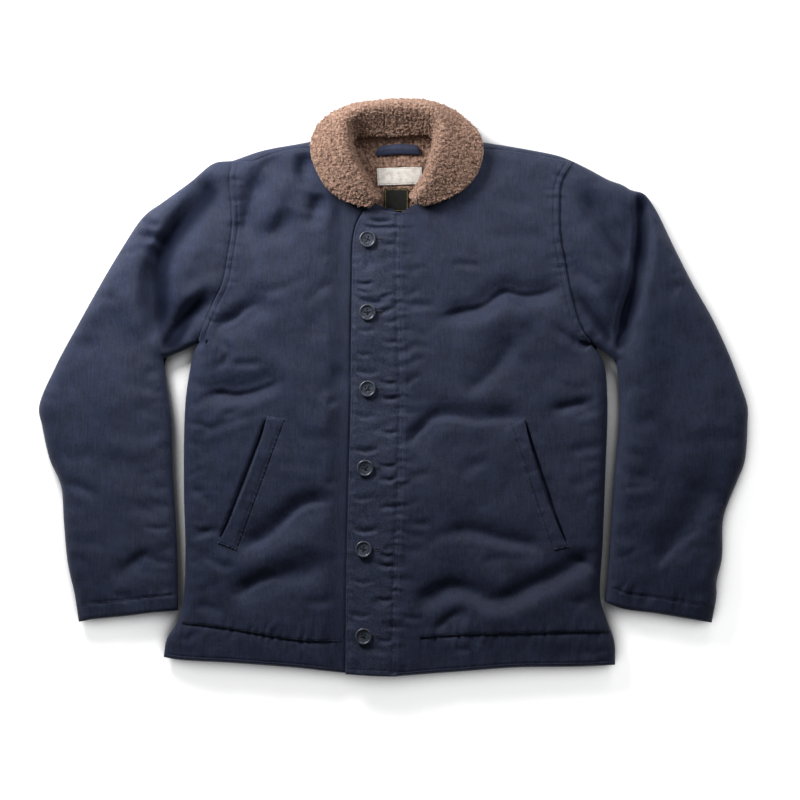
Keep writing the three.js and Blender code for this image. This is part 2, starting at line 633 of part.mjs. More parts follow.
// A layer of the collar between two distances from its middle, from the outer edge part of the way
// to the neck seam. It lies at least the clearance above everything that is under it.
function collarLayer({ above, below, from, to, pieces, clear }, under) {
  const outer = [];
  const inner = [];
  const lifted = (p, gap) => {
    const heights = under.map((mesh) => heightOn(mesh, p.x, p.y)).filter((z) => z !== null);
    return p.setZ(Math.max(p.z, ...heights.map((z) => z + gap)));
  };
  for (const place of steps(COLLAR_STATIONS)) {
    const line = collarLine(place);
    const next = collarLine(Math.min(place + 0.004, 1));
    const before = collarLine(Math.max(place - 0.004, 0));
    const tops = [];
    const bottoms = [];
    for (const s of steps(pieces, from, to)) {
      const along = next.getPoint(s).sub(before.getPoint(s));
      const normal = line.getTangent(s).cross(along).normalize();
      const middle = line.getPoint(s);
      tops.push(lifted(middle.clone().addScaledVector(normal, above), clear + above - below));
      bottoms.push(lifted(middle.clone().addScaledVector(normal, below), clear));
    }
    outer.push(tops);
    inner.push(bottoms);
  }
  return wallGeometry(outer, inner);
}

function makeLining() {
  const at = patch({
    top: border([[-49, 311], [0, 313], [49, 312]], 5),
    bottom: border([[-10, 232], [2, 231], [14, 232]], 5),
    first: border([[-49, 311], [-51, 298], [-44, 276], [-27, 252], [-10, 232]], 7),
    last: border([[49, 312], [50, 298], [40, 276], [27, 252], [14, 232]], 7),
  });
  const grid = (height) => steps(7).map((v) => steps(5).map((u) => at(u, v).setZ(height)));
  return wallGeometry(grid(LINING_TOP), grid(WALL + FOLD_GAP));
}

// A strap across the back of the neck, sewn down at both ends and slack between them.
function makeHangerLoop() {
  const grid = (lift) =>
    steps(2).map((v) => steps(12).map((u) => {
      const slack = Math.sin(Math.PI * u);
      const x = LOOP.x + (u - 0.5) * LOOP.length;
      const y = LOOP.y + (v - 0.5) * LOOP.width + LOOP.bow * slack + LOOP.slope * (u - 0.5);
      return new THREE.Vector3(x, y, LINING_TOP + REST_GAP + lift + LOOP.stand * slack);
    }));
  return wallGeometry(grid(LOOP.wall), grid(0));
}

// A woven label lying on the lining.
function makeLabel({ x, y, width, height, turn }) {
  const plate = new THREE.BoxGeometry(width, height, LABEL_WALL).rotateZ(turn);
  return plate.translate(x, y, LINING_TOP + REST_GAP + LABEL_WALL / 2);
}

function makeWelt({ open, sewn }, front) {
  const at = patch({
    top: border([open[0], sewn[0]], 2),
    bottom: border([open[1], sewn[1]], 2),
    first: border(open, 12),
    last: border(sewn, 12),
  });
  const grid = (lift) =>
    steps(12).map((v) => steps(2).map((u) => {
      const p = at(u, v);
      return p.setZ(highestOn(front, p.x, p.y, 7) + REST_GAP + lift);
    }));
  return wallGeometry(grid(WELT_WALL), grid(0));
}

// A four-hole button with a raised rim and a dished middle, turned on a lathe and drilled.
function makeButton() {
  const r = BUTTON_DIAMETER / 2;
  const h = BUTTON_HEIGHT;
  const profile = [
    [0, 0], [0.72 * r, 0], [0.95 * r, 0.3 * h], [r, 0.6 * h], [0.94 * r, 0.95 * h], [0.84 * r, h],
    [0.7 * r, 0.72 * h], [0, 0.62 * h],
  ].map(([x, y]) => new THREE.Vector2(x, y));
  const disc = new THREE.LatheGeometry(profile, 16).rotateX(Math.PI / 2);
  let solid = solidOf(disc);
  for (const sx of [-0.5, 0.5])
    for (const sy of [-0.5, 0.5]) {
      const hole = new THREE.CylinderGeometry(BUTTON_HOLE.radius, BUTTON_HOLE.radius, 3 * h, 5);
      hole.rotateX(Math.PI / 2).translate(sx * BUTTON_HOLE.spacing, sy * BUTTON_HOLE.spacing, 0);
      solid = solid.subtract(solidOf(hole));
    }
  return geometryOf(solid);
}

const back = add("back", makeBack(), NAVY);
const rightFront = add("front_right", makeFront(RIGHT, { press: underPlacket }), NAVY);
const leftFront = add("front_left", makeFront(LEFT), NAVY);
const placket = add("placket", makePlacket(), NAVY);
add("sleeve_right_upper", makeUpperSleeve(RIGHT), NAVY);
add("sleeve_right_under", makeUnderSleeve(RIGHT), NAVY);
add("sleeve_left_upper", makeUpperSleeve(LEFT), NAVY);
add("sleeve_left_under", makeUnderSleeve(LEFT), NAVY);
const lining = add("neck_lining", makeLining(), PILE);
const body = [back, rightFront, leftFront, placket, lining];
const half = COLLAR_WALL / 2;
const pile = { above: half, below: -half, from: 0, to: 1, pieces: 10, clear: UNDERCOLLAR_WALL + 1.2 };
const facing = {
  above: -half - REST_GAP,
  below: -half - REST_GAP - UNDERCOLLAR_WALL,
  from: 0,
  to: 0.6,
  pieces: 6,
  clear: REST_GAP,
};
add("collar", collarLayer(pile, body), PILE);
add("undercollar", collarLayer(facing, body), NAVY);
add("hanger_loop", makeHangerLoop(), NAVY);
add("label_white", makeLabel(LABELS.label_white), WHITE_TAPE);
add("label_black", makeLabel(LABELS.label_black), BLACK_TAPE);
add("pocket_welt_right", makeWelt(WELTS.right, rightFront), NAVY);
add("pocket_welt_left", makeWelt(WELTS.left, leftFront), NAVY);
BUTTONS.forEach(([x, y], i) => {
  const button = add(`button_${i + 1}`, makeButton(), BUTTON);
  button.position.set(x, y, highestOn(placket, x, y, BUTTON_DIAMETER / 3) + REST_GAP);
});

export default jacket;
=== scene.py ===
"""A pile-lined deck jacket, laid flat on its back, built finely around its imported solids.

Sizes are in millimetres, in the frame of the solids: +X is across, +Y is towards the collar and +Z
is up from the surface that it lies on. They become metres when a mesh is made. Left and right are
the wearer's, so the right front and the right sleeve are at -X.
"""

import itertools
import logging
import math
from dataclasses import dataclass, field
from enum import Enum
from typing import Callable, Sequence

import bpy
import numpy as np
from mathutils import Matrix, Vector
from mathutils.bvhtree import BVHTree


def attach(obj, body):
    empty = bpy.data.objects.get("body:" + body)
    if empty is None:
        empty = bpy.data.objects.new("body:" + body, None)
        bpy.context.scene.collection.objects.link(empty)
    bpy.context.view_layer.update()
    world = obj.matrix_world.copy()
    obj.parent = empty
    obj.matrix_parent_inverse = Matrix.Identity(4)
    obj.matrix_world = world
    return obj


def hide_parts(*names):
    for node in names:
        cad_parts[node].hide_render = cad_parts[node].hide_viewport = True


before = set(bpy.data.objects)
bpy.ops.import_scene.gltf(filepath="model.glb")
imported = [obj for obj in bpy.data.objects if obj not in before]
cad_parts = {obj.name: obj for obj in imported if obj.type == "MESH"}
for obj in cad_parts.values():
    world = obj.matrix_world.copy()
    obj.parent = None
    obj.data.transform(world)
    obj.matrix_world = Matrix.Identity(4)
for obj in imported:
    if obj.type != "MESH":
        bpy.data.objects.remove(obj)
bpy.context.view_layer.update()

Array = np.ndarray
Rows = Sequence[Sequence[float]]
Border = Callable[[Array], Array]

LOG = logging.getLogger("deck_jacket")
MM = 0.001
BODY = "root"

# Thicknesses and heights, which are those of the solids
WALL = 11.0
PLACKET_WALL = 5.0
SEAM_GAP = 0.3
FOLD_GAP = 0.3
SEAM_HEIGHT = 12.0
TOP_HEIGHT = 26.0
ROLL = 20.0
LAYER_CLEAR = WALL + 1.3
LEAST_TOP = 17.5
PLACKET_STEP = PLACKET_WALL + 1.4
LINING_TOP = WALL + 4.3


class Side(Enum):
    """The half of the garment that a piece belongs to, as its wearer has it."""

    RIGHT = "right"
    LEFT = "left"


class Layer(Enum):
    """Whether a piece is on top or lies on the surface."""

    UPPER = "upper"
    UNDER = "under"


@dataclass(frozen=True)
class Half:
    """The outline of one half of the garment as it lies. Every table's columns are x, y."""

    side: Side
    shoulder: Rows
    sleeve_outer: Rows
    underarm: Rows
    sleeve_inner: Rows
    cuff: Rows
    armhole: Rows
    flank: Rows
    shoulder_seam: Rows
    neckline: Rows
    front_edge: Rows
    hem: Rows
    hem_line: Rows

    @property
    def inward(self) -> float:
        """The sign of X towards the middle of the garment."""
        return 1.0 if self.side is Side.RIGHT else -1.0


RIGHT = Half(
    side=Side.RIGHT,
    shoulder=((-70, 318), (-96, 316), (-119, 312), (-168, 303), (-206, 290)),
    sleeve_outer=(
        (-206, 290), (-230, 287), (-260, 263), (-297, 236), (-319, 220), (-350, 175), (-404, 81),
        (-434, 25), (-455, -27), (-451, -50), (-441, -94), (-427, -126), (-423, -175), (-418, -227),
        (-409, -268), (-404, -302),
    ),
    underarm=((-250, 56), (-273, 45), (-295, 36)),
    sleeve_inner=((-295, 36), (-290, 2), (-285, -40), (-283, -105), (-277, -219), (-276, -287)),
    cuff=((-404, -302), (-391, -299), (-342, -294), (-311, -290), (-276, -287)),
    armhole=(
        (-206, 290), (-209, 268), (-207, 236), (-206, 204), (-211, 170), (-218, 133), (-231, 106),
        (-245, 72), (-250, 56),
    ),
    flank=(
        (-250, 56), (-256, 44), (-265, -2), (-268, -37), (-269, -129), (-267, -220), (-270, -273),
        (-278, -303), (-291, -324), (-295, -347),
    ),
    shoulder_seam=((-206, 290), (-196, 289), (-180, 289), (-158, 297), (-132, 304), (-100, 306)),
    neckline=((-100, 306), (-84, 300), (-70, 286), (-58, 266), (-40, 247), (-22, 234), (2, 226)),
    front_edge=((2, 226), (2, 100), (2, -50), (0, -200), (-4, -369)),
    hem=((-295, -347), (-277, -350), (-208, -354), (-153, -358), (-117, -361), (-62, -367), (-4, -369)),
    hem_line=((-272, -303), (-230, -307), (-186, -314), (-119, -325), (-63, -327)),
)
LEFT = Half(
    side=Side.LEFT,
    shoulder=((70, 320), (96, 317), (120, 313), (175, 304), (213, 296), (231, 289)),
    sleeve_outer=(
        (231, 289), (253, 278), (277, 265), (294, 259), (306, 252), (321, 248), (336, 229),
        (360, 180), (385, 131), (409, 89), (431, 42), (444, 8), (455, -26), (455, -45), (451, -97),
        (442, -120), (426, -160), (423, -175), (422, -220), (415, -251), (415, -268), (409, -303),
    ),
    underarm=((254, 55), (271, 44), (286, 33)),
    sleeve_inner=((286, 33), (291, -17), (283, -122), (274, -253), (271, -276)),
    cuff=((409, -303), (375, -297), (332, -290), (295, -285), (271, -276)),
    armhole=((231, 289), (215, 261), (212, 226), (213, 194), (218, 165), (230, 106), (240, 76), (254, 55)),
    flank=(
        (254, 55), (265, 41), (271, 28), (275, -17), (272, -122), (269, -200), (266, -273), (274, -299),
        (284, -328), (285, -357),
    ),
    shoulder_seam=((231, 289), (213, 291), (175, 298), (140, 303), (104, 304)),
    neckline=((104, 304), (90, 297), (76, 284), (62, 266), (48, 250), (30, 235), (9.6, 222)),
    front_edge=(
        (9.6, 222), (8.6, 167), (9.6, 88), (12.6, 8), (9.6, -148), (4.6, -253), (3.6, -326),
        (3.6, -371),
    ),
    hem=((285, -357), (234, -359), (156, -360), (87, -365), (3.6, -371)),
    hem_line=((277, -314), (200, -315), (111, -317), (70, -319), (33, -321)),
)
HALVES = (RIGHT, LEFT)
BACK_NECK = ((-70, 318), (-50, 324), (0, 323), (50, 325), (70, 320))
BACK_HEM = ((-295, -347), (-208, -352), (-117, -359), (0, -368), (156, -358), (285, -357))
PLACKET_EDGE = (
    (-38, 224), (-46, 210), (-51, 190), (-53, 127), (-54, 49), (-54, -4), (-57, -122), (-60, -253),
    (-61, -368),
)
PLACKET_SEAM = (
    (9.5, 222), (8.5, 167), (9.5, 88), (12.5, 8), (9.5, -148), (4.5, -253), (3.5, -326), (3.5, -371),
)
PLACKET_TOP = ((-38, 224), (-15, 226), (9, 222))
PLACKET_HEM = ((-61, -368), (-30, -370), (3, -371))
BUTTON_PLACES = ((-33, 188), (-33, 95), (-33, -3), (-36, -104), (-38, -208), (-38, -319))


@dataclass(frozen=True)
class Fold:
    """A trough or a ridge along a line of x, y points, with its half width and its lift."""

    line: Rows
    width: float
    lift: float
    lean: float = 0.0


# The broad folds, which the solids have too
BROAD_FOLDS = (
    Fold(((-166, 278), (-182, 235), (-198, 178)), 15, -7),
    Fold(((-137, 278), (-158, 225), (-170, 200)), 17, 4),
    Fold(((-114, 302), (-117, 262)), 12, -8),
    Fold(((-95, 248), (-101, 218)), 12, -7),
    Fold(((-106, 216), (-150, 200), (-200, 168)), 15, -5),
    Fold(((-150, 118), (-190, 92), (-243, 66)), 15, -8),
    Fold(((-137, 22), (-172, 0), (-250, -12)), 16, -7),
    Fold(((-66, 100), (-96, 84), (-110, 62)), 14, -4),
    Fold(((-62, 30), (-76, 4), (-100, -18)), 14, -5),
    Fold(((-70, -146), (-113, -150), (-147, -175), (-199, -212)), 16, -8),
    Fold(((-90, -186), (-150, -212), (-210, -240)), 18, 5),
    Fold(((-70, -218), (-122, -240), (-158, -247), (-216, -270)), 15, -7),
    Fold(((222, 134), (179, 116), (138, 121), (110, 100), (60, 86)), 14, -8),
    Fold(((190, 92), (140, 90), (90, 62)), 19, 5),
    Fold(((165, 73), (134, 30), (86, -15)), 16, -4),
    Fold(((171, -40), (116, -36), (60, -35), (36, -56), (22, -88)), 14, -8),
    Fold(((266, -12), (233, -24), (190, -36)), 13, -5),
    Fold(((62, -187), (98, -185), (143, -194), (200, -210)), 15, -5),
    Fold(
        ((264, -220), (235, -228), (188, -250), (135, -273), (109, -263), (71, -259), (24, -288)),
        14,
        -9,
    ),
    Fold(((200, -276), (150, -296), (100, -292)), 16, 2),
    Fold(((107, -280), (80, -296), (50, -318)), 12, -5),
    Fold(
        ((-238, 278), (-258, 239), (-274, 204), (-297, 170), (-309, 138), (-305, 100), (-292, 62)),
        15,
        -11,
    ),
    Fold(((-240, 240), (-256, 190), (-274, 130), (-276, 90)), 22, 7),
    Fold(((-238, 114), (-268, 88), (-290, 58)), 12, -8),
    Fold(((-300, 222), (-330, 160), (-352, 90), (-350, 0), (-346, -100)), 34, 5),
    Fold(((-312, -214), (-340, -236), (-366, -246)), 14, -5),
    Fold(((319, 250), (311, 204), (314, 172), (306, 136), (296, 98), (286, 50)), 14, -11),
    Fold(((344, 206), (336, 140), (322, 60), (314, -40), (306, -160)), 24, 6),
    Fold(((240, 252), (262, 219), (287, 185), (304, 150)), 13, -7),
    Fold(((236, 210), (262, 150), (278, 100)), 18, 5),
    Fold(((412, -118), (380, -165), (350, -201), (326, -226)), 20, -7),
)

# The creases of the outer cloth, read off the photograph fold by fold
CREASES = (
    # left front
    Fold(((217, 130), (197, 120), (166, 115), (142, 120), (116, 102), (80, 94), (50, 85)), 5, -3.4, 0.4),
    Fold(((197, 84), (224, 62), (254, 46)), 5, -2.6),
    Fold(((165, 71), (134, 26), (85, -17)), 6, -1.6),
    Fold(((14, -1), (26, 10), (39, 15)), 3.5, -2.0),
    Fold(
        ((169, -41), (134, -41), (107, -44), (80, -39), (53, -40), (39, -53), (25, -67), (19, -85)),
        5, -3.6, -0.4,
    ),
    Fold(((267, -12), (242, -22), (197, -31)), 4.5, -2.6),
    Fold(((267, -27), (242, -36), (225, -40)), 4, -1.8),
    Fold(((71, 157), (95, 156), (119, 153)), 4, -1.3),
    Fold(((12, 103), (34, 104), (57, 103)), 4, -2.0),
    Fold(
        (
            (268, -222), (249, -225), (224, -235), (197, -248), (170, -260), (148, -269), (130, -274),
            (116, -272), (98, -262), (80, -257), (64, -259), (44, -268), (23, -286),
        ),
        8, -2.2, 0.3,
    ),
    Fold(((53, -314), (71, -296), (89, -286)), 4, -2.4),
    Fold(((10, -294), (28, -297), (44, -295)), 3.5, -2.2),
    Fold(((25, -221), (62, -190), (98, -185), (134, -194), (197, -207)), 6, -2.2),
    Fold(((102, -230), (134, -221), (188, -221)), 5, -1.4),
    Fold(((84, -121), (98, -104), (134, -91)), 6, -1.3),
    Fold(((73, -335), (88, -337), (102, -335)), 3.5, -1.4),
    Fold(((14, 60), (30, 52), (52, 50)), 4.5, -1.4),
    Fold(((15, -120), (34, -112), (56, -110)), 4.5, -1.3),
    Fold(((13, -170), (30, -176), (52, -173)), 4, -1.4),
    Fold(((120, 250), (150, 236), (196, 232)), 7, -1.4),
    Fold(((110, 196), (150, 190), (200, 200)), 7, -1.2),
    Fold(((205, 10), (228, -2), (262, 2)), 5, -1.3),
    Fold(((238, -90), (254, -96), (268, -92)), 4, -1.5),
    Fold(((180, -112), (196, -120), (206, -136)), 4, -0.9),
    Fold(((226, -280), (248, -270), (268, -268)), 5, -1.8),
    # right front
    Fold(((-136, 296), (-163, 281), (-173, 264), (-182, 232), (-189, 207), (-195, 183)), 11, -6.0, 0.3),
    Fold(((-131, 232), (-146, 203), (-163, 185)), 10, -4.2, 0.3),
    Fold(((-114, 296), (-113, 270), (-116, 252)), 8, -5.0),
    Fold(((-94, 248), (-99, 222), (-112, 200)), 8, -4.4),
    Fold(((-185, 126), (-157, 122), (-132, 130), (-104, 147)), 5, -1.6),
    Fold(((-113, 99), (-98, 121), (-71, 136)), 5, -1.6),
    Fold(((-231, 72), (-215, 81), (-201, 88), (-189, 99), (-169, 107)), 5, -3.2, 0.4),
    Fold(((-237, 66), (-215, 53), (-209, 44), (-218, 29), (-235, 20)), 4.5, -2.4),
    Fold(((-236, 44), (-224, 42)), 11, 2.4),
    Fold(((-215, 29), (-195, 29), (-163, 29)), 4.5, -1.8),
    Fold(((-247, -15), (-222, -9), (-201, -12), (-176, -7), (-157, 0), (-136, 12)), 5, -3.2, -0.4),
    Fold(((-185, -25), (-208, -34), (-224, -39)), 4.5, -1.8),
    Fold(((-258, -70), (-221, -49), (-168, -34)), 5, -1.8),
    Fold(((-54, -9), (-71, -18), (-91, -25)), 4.5, -2.4),
    Fold(((-54, 42), (-64, 25), (-70, 8)), 4, -2.2),
    Fold(((-168, -94), (-139, -99), (-90, -100)), 6, -1.3),
    Fold(((-62, -120), (-90, -126)), 4.5, -1.8),
    Fold(
        ((-201, -209), (-172, -200), (-155, -189), (-139, -173), (-122, -157), (-107, -150), (-73, -146)),
        6, -3.8, 0.5,
    ),
    Fold(((-208, -265), (-195, -264), (-174, -251), (-155, -245), (-131, -248)), 5, -3.0, 0.3),
    Fold(((-258, -207), (-221, -228), (-196, -232)), 5, -2.4),
    Fold(((-61, -216), (-82, -225)), 4.5, -1.8),
    Fold(((-62, 176), (-84, 168), (-112, 172)), 6, -1.2),
    Fold(((-70, 74), (-96, 66), (-130, 70)), 6, -1.1),
    Fold(((-64, -60), (-88, -66), (-124, -62)), 6, -1.2),
    Fold(((-66, -268), (-92, -276), (-118, -272)), 5, -1.6),
    Fold(((-260, -130), (-242, -140), (-228, -160)), 5, -1.6),
    Fold(((-262, -285), (-238, -282), (-214, -290)), 4.5, -1.8),
    # placket
    Fold(((-36, 214), (-20, 210), (-4, 211), (4, 214)), 2.4, -3.4, 0.3),
    Fold(((-42, 206), (-22, 203), (-2, 206), (6, 209)), 2.6, -3.0, -0.3),
    Fold(((-14, 199), (-4, 201), (7, 205)), 2.2, -2.4),
    Fold(((-20, 184), (-8, 181), (6, 184)), 2.6, -2.0),
    Fold(((-49, 117), (-38, 109), (-22, 106), (-4, 110)), 3.4, -3.6, 0.4),
    Fold(((-50, 134), (-38, 131), (-22, 134)), 2.6, -2.4, -0.3),
    Fold(((-49, 126), (-40, 121), (-30, 120)), 2.2, -2.2),
    Fold(((-20, 92), (-6, 97), (8, 104)), 2.6, -3.4, 0.3),
    Fold(((-22, 112), (-8, 116), (7, 121)), 2.6, -2.4, -0.3),
    Fold(((-16, 84), (-4, 82), (8, 86)), 2.4, -2.0),
    Fold(((-36, 176), (-33, 162), (-33, 144)), 5, -2.0, 0.3),
    Fold(((-8, 178), (-3, 158), (-4, 132)), 5, -1.6),
    Fold(((-50, 76), (-36, 70), (-18, 73)), 2.8, -2.2, 0.3),
    Fold(((-16, 60), (-4, 56), (8, 58)), 2.6, -2.2),
    Fold(((-51, 44), (-38, 40), (-26, 42)), 2.4, -1.8),
    Fold(((-50, 22), (-34, 16), (-14, 20)), 3.0, -2.8, 0.4),
    Fold(((-20, 8), (-6, 4), (9, 6)), 2.6, -2.8, -0.3),
    Fold(((-18, -12), (-6, -16), (9, -13)), 2.6, -2.6),
    Fold(((-52, -34), (-38, -40), (-20, -37)), 2.8, -2.2, 0.3),
    Fold(((-18, -56), (-6, -60), (8, -57)), 2.6, -2.4),
    Fold(((-53, -78), (-36, -84), (-14, -78)), 3.0, -2.8, 0.4),
    Fold(((-22, -98), (-8, -102), (7, -99)), 2.6, -2.6, -0.3),
    Fold(((-20, -116), (-6, -120), (7, -116)), 2.6, -2.4),
    Fold(((-54, -140), (-40, -145), (-20, -139)), 2.8, -2.2, 0.3),
    Fold(((-20, -158), (-8, -154), (6, -157)), 2.6, -2.2),
    Fold(((-55, -180), (-38, -187), (-16, -182)), 3.0, -2.8, 0.4),
    Fold(((-20, -212), (-8, -217), (3, -213)), 2.6, -2.6, -0.3),
    Fold(((-22, -226), (-10, -230), (3, -228)), 2.4, -2.2),
    Fold(((-56, -246), (-40, -252), (-22, -247)), 2.8, -2.2, 0.3),
    Fold(((-24, -270), (-10, -274), (2, -270)), 2.6, -2.2),
    Fold(((-57, -290), (-42, -295), (-24, -290)), 2.8, -2.4, 0.4),
    Fold(((-22, -322), (-10, -326), (2, -323)), 2.6, -2.2),
    # right sleeve
    Fold(
        ((-228, 278), (-241, 246), (-259, 222), (-277, 202), (-295, 174), (-301, 142), (-301, 110),
         (-297, 78), (-292, 42)),
        15, -8.5, 0.35,
    ),
    Fold(((-311, 204), (-314, 186), (-309, 165)), 5, -2.0),
    Fold(((-269, 226), (-280, 206), (-290, 189)), 5, -2.2),
    Fold(((-319, 220), (-309, 204), (-328, 172)), 5, -1.6),
    Fold(((-224, 134), (-252, 104), (-276, 72), (-300, 34)), 11, -8.5, 0.4),
    Fold(((-328, 224), (-313, 208), (-292, 204)), 3.5, -6.0, 0.4),
    Fold(((-332, 198), (-316, 188), (-298, 190)), 3.5, -5.5, 0.4),
    Fold(((-258, 268), (-275, 232), (-294, 204), (-318, 165), (-332, 110), (-322, 55)), 13, 5.5),
    Fold(((-218, 140), (-244, 120), (-270, 104)), 9, 3.0),
    Fold(((-322, 196), (-304, 188), (-292, 176)), 5, -4.0, 0.4),
    Fold(((-330, 178), (-316, 172), (-304, 158)), 5, -3.5, 0.4),
    Fold(((-351, -241), (-315, -213), (-301, -209)), 5.5, -2.6),
    Fold(((-359, -262), (-342, -269), (-324, -263)), 4.5, -2.2),
    Fold(((-300, 20), (-322, 4), (-352, 6)), 8, -1.8),
    Fold(((-292, -50), (-318, -66), (-350, -64)), 9, -1.6),
    Fold(((-440, -78), (-410, -92), (-376, -86)), 7, -2.0),
    Fold(((-428, -126), (-404, -128), (-372, -142)), 6, -2.2),
    Fold(((-370, 120), (-352, 70), (-350, 20)), 10, -1.3),
    Fold(((-286, -150), (-310, -158), (-342, -150)), 8, -1.5),
    Fold(((-420, -190), (-396, -200), (-366, -198)), 7, -1.4),
    # left sleeve
    Fold(((314, 264), (314, 230), (315, 196), (312, 160), (306, 126), (295, 90), (287, 34)), 9, -9.0, 0.6),
    Fold(((330, 240), (331, 196), (329, 156), (320, 116), (307, 64)), 7, 3.5),
    Fold(((236, 258), (258, 223), (280, 185), (306, 142)), 11, -5.2, 0.4),
    Fold(((253, 175), (268, 160), (282, 145)), 5, -2.0),
    Fold(((226, 136), (246, 104), (270, 74), (292, 38)), 9, -5.6, -0.3),
    Fold(((226, 160), (246, 140), (272, 118)), 8, -3.5, -0.3),
    Fold(((400, -175), (366, -198), (343, -221), (331, -242)), 7, -3.0, -0.4),
    Fold(((412, -129), (419, -142), (421, -157)), 5, -2.0),
    Fold(((340, 190), (352, 150), (350, 110)), 9, -1.5),
    Fold(((290, -30), (312, -44), (346, -40)), 8, -1.6),
    Fold(((448, -60), (420, -70), (390, -60)), 8, -1.8),
    Fold(((284, -110), (306, -122), (340, -116)), 8, -1.4),
    Fold(((278, -180), (300, -190), (322, -184)), 7, -1.4),
    Fold(((366, 96), (392, 60), (398, 20)), 10, -1.2),
)


def smooth(value: Array, start: float, end: float) -> Array:
    """A soft step of the value, 0 at the start and 1 at the end."""
    share = np.clip((value - start) / (end - start), 0.0, 1.0)
    return share * share * (3.0 - 2.0 * share)


def spline(knots: Array, shares: Array) -> Array:
    """Points of centripetal Catmull-Rom curves.

    Args:
        knots: Control points, (..., count, dimensions).
        shares: Places from 0 to 1, counted by knots.

    Returns:
        The points, (..., number of shares, dimensions).
    """
    count = knots.shape[-2]
    before = 2.0 * knots[..., :1, :] - knots[..., 1:2, :]
    after = 2.0 * knots[..., -1:, :] - knots[..., -2:-1, :]
    padded = np.concatenate([before, knots, after], axis=-2)
    where = np.clip(shares, 0.0, 1.0) * (count - 1)
    index = np.minimum(where.astype(int), count - 2)
    weight = (where - index)[:, None]
    p0, p1, p2, p3 = (padded[..., index + k, :] for k in range(4))

    def gap(a: Array, b: Array) -> Array:
        """The centripetal spacing of two rows of points."""
        return np.sqrt(np.maximum(np.linalg.norm(b - a, axis=-1, keepdims=True), 1e-9))

    d0, d1, d2 = gap(p0, p1), gap(p1, p2), gap(p2, p3)
    t1 = ((p1 - p0) / d0 - (p2 - p0) / (d0 + d1) + (p2 - p1) / d1) * d1
    t2 = ((p2 - p1) / d1 - (p3 - p1) / (d1 + d2) + (p3 - p2) / d2) * d1
    c2 = -3.0 * p1 + 3.0 * p2 - 2.0 * t1 - t2
    c3 = 2.0 * p1 - 2.0 * p2 + t1 + t2
    return p1 + weight * (t1 + weight * (c2 + weight * c3))


def noise(x: Array, y: Array, cell: float, seed: int) -> Array:
    """Soft random waves between -1 and 1, with one value for each cell.

    Args:
        x: Places across.
        y: Places along.
        cell: How far apart the values lie.
        seed: Which pattern.

    Returns:
        One value for each place.
    """
    column, row = np.floor(x / cell), np.floor(y / cell)
    fx, fy = x / cell - column, y / cell - row
    fx, fy = fx * fx * (3.0 - 2.0 * fx), fy * fy * (3.0 - 2.0 * fy)

    def corner(i: int, j: int) -> Array:
        """The value at one corner of each point's cell."""
        wave = np.sin((column + i) * 127.1 + (row + j) * 311.7 + seed * 74.7) * 43758.5453
        return 2.0 * (wave - np.floor(wave)) - 1.0

    near = corner(0, 0) * (1.0 - fx) + corner(1, 0) * fx
    far = corner(0, 1) * (1.0 - fx) + corner(1, 1) * fx
    return near * (1.0 - fy) + far * fy


def lumps(points: Array, cell: float, seed: int) -> Array:
    """Rounded lumps about one cell across: 1 on top of each and 0 in the gaps between them.

    Args:
        points: The points, (rows, columns, 3).
        cell: How large a lump is.
        seed: Which pattern.

    Returns:
        One value for each point.
    """
    scaled = points / cell
    base = np.floor(scaled)
    nearest = np.full(scaled.shape[:-1], 9.0)
    for step in itertools.product((-1.0, 0.0, 1.0), repeat=3):
        corner = base + np.array(step)
        phase = corner @ np.array([[127.1, 269.5, 113.5], [311.7, 183.3, 271.9], [74.7, 246.1, 124.6]])
        wave = np.sin(phase + seed * 17.3) * 43758.5453
        spot = corner + 0.12 + 0.76 * (wave - np.floor(wave))
        nearest = np.minimum(nearest, ((scaled - spot) ** 2).sum(axis=-1))
    return np.clip(1.0 - nearest / 0.5, 0.0, 1.0)


@dataclass(frozen=True)
class Beside:
    """Where points lie beside a line: how far off, how far along, and on which side, 1 for its left.

    The gap leads from the line to each point, and the heading is the line's own there.
    """

    far: Array
    along: Array
    side: Array
    gap: Array
    heading: Array


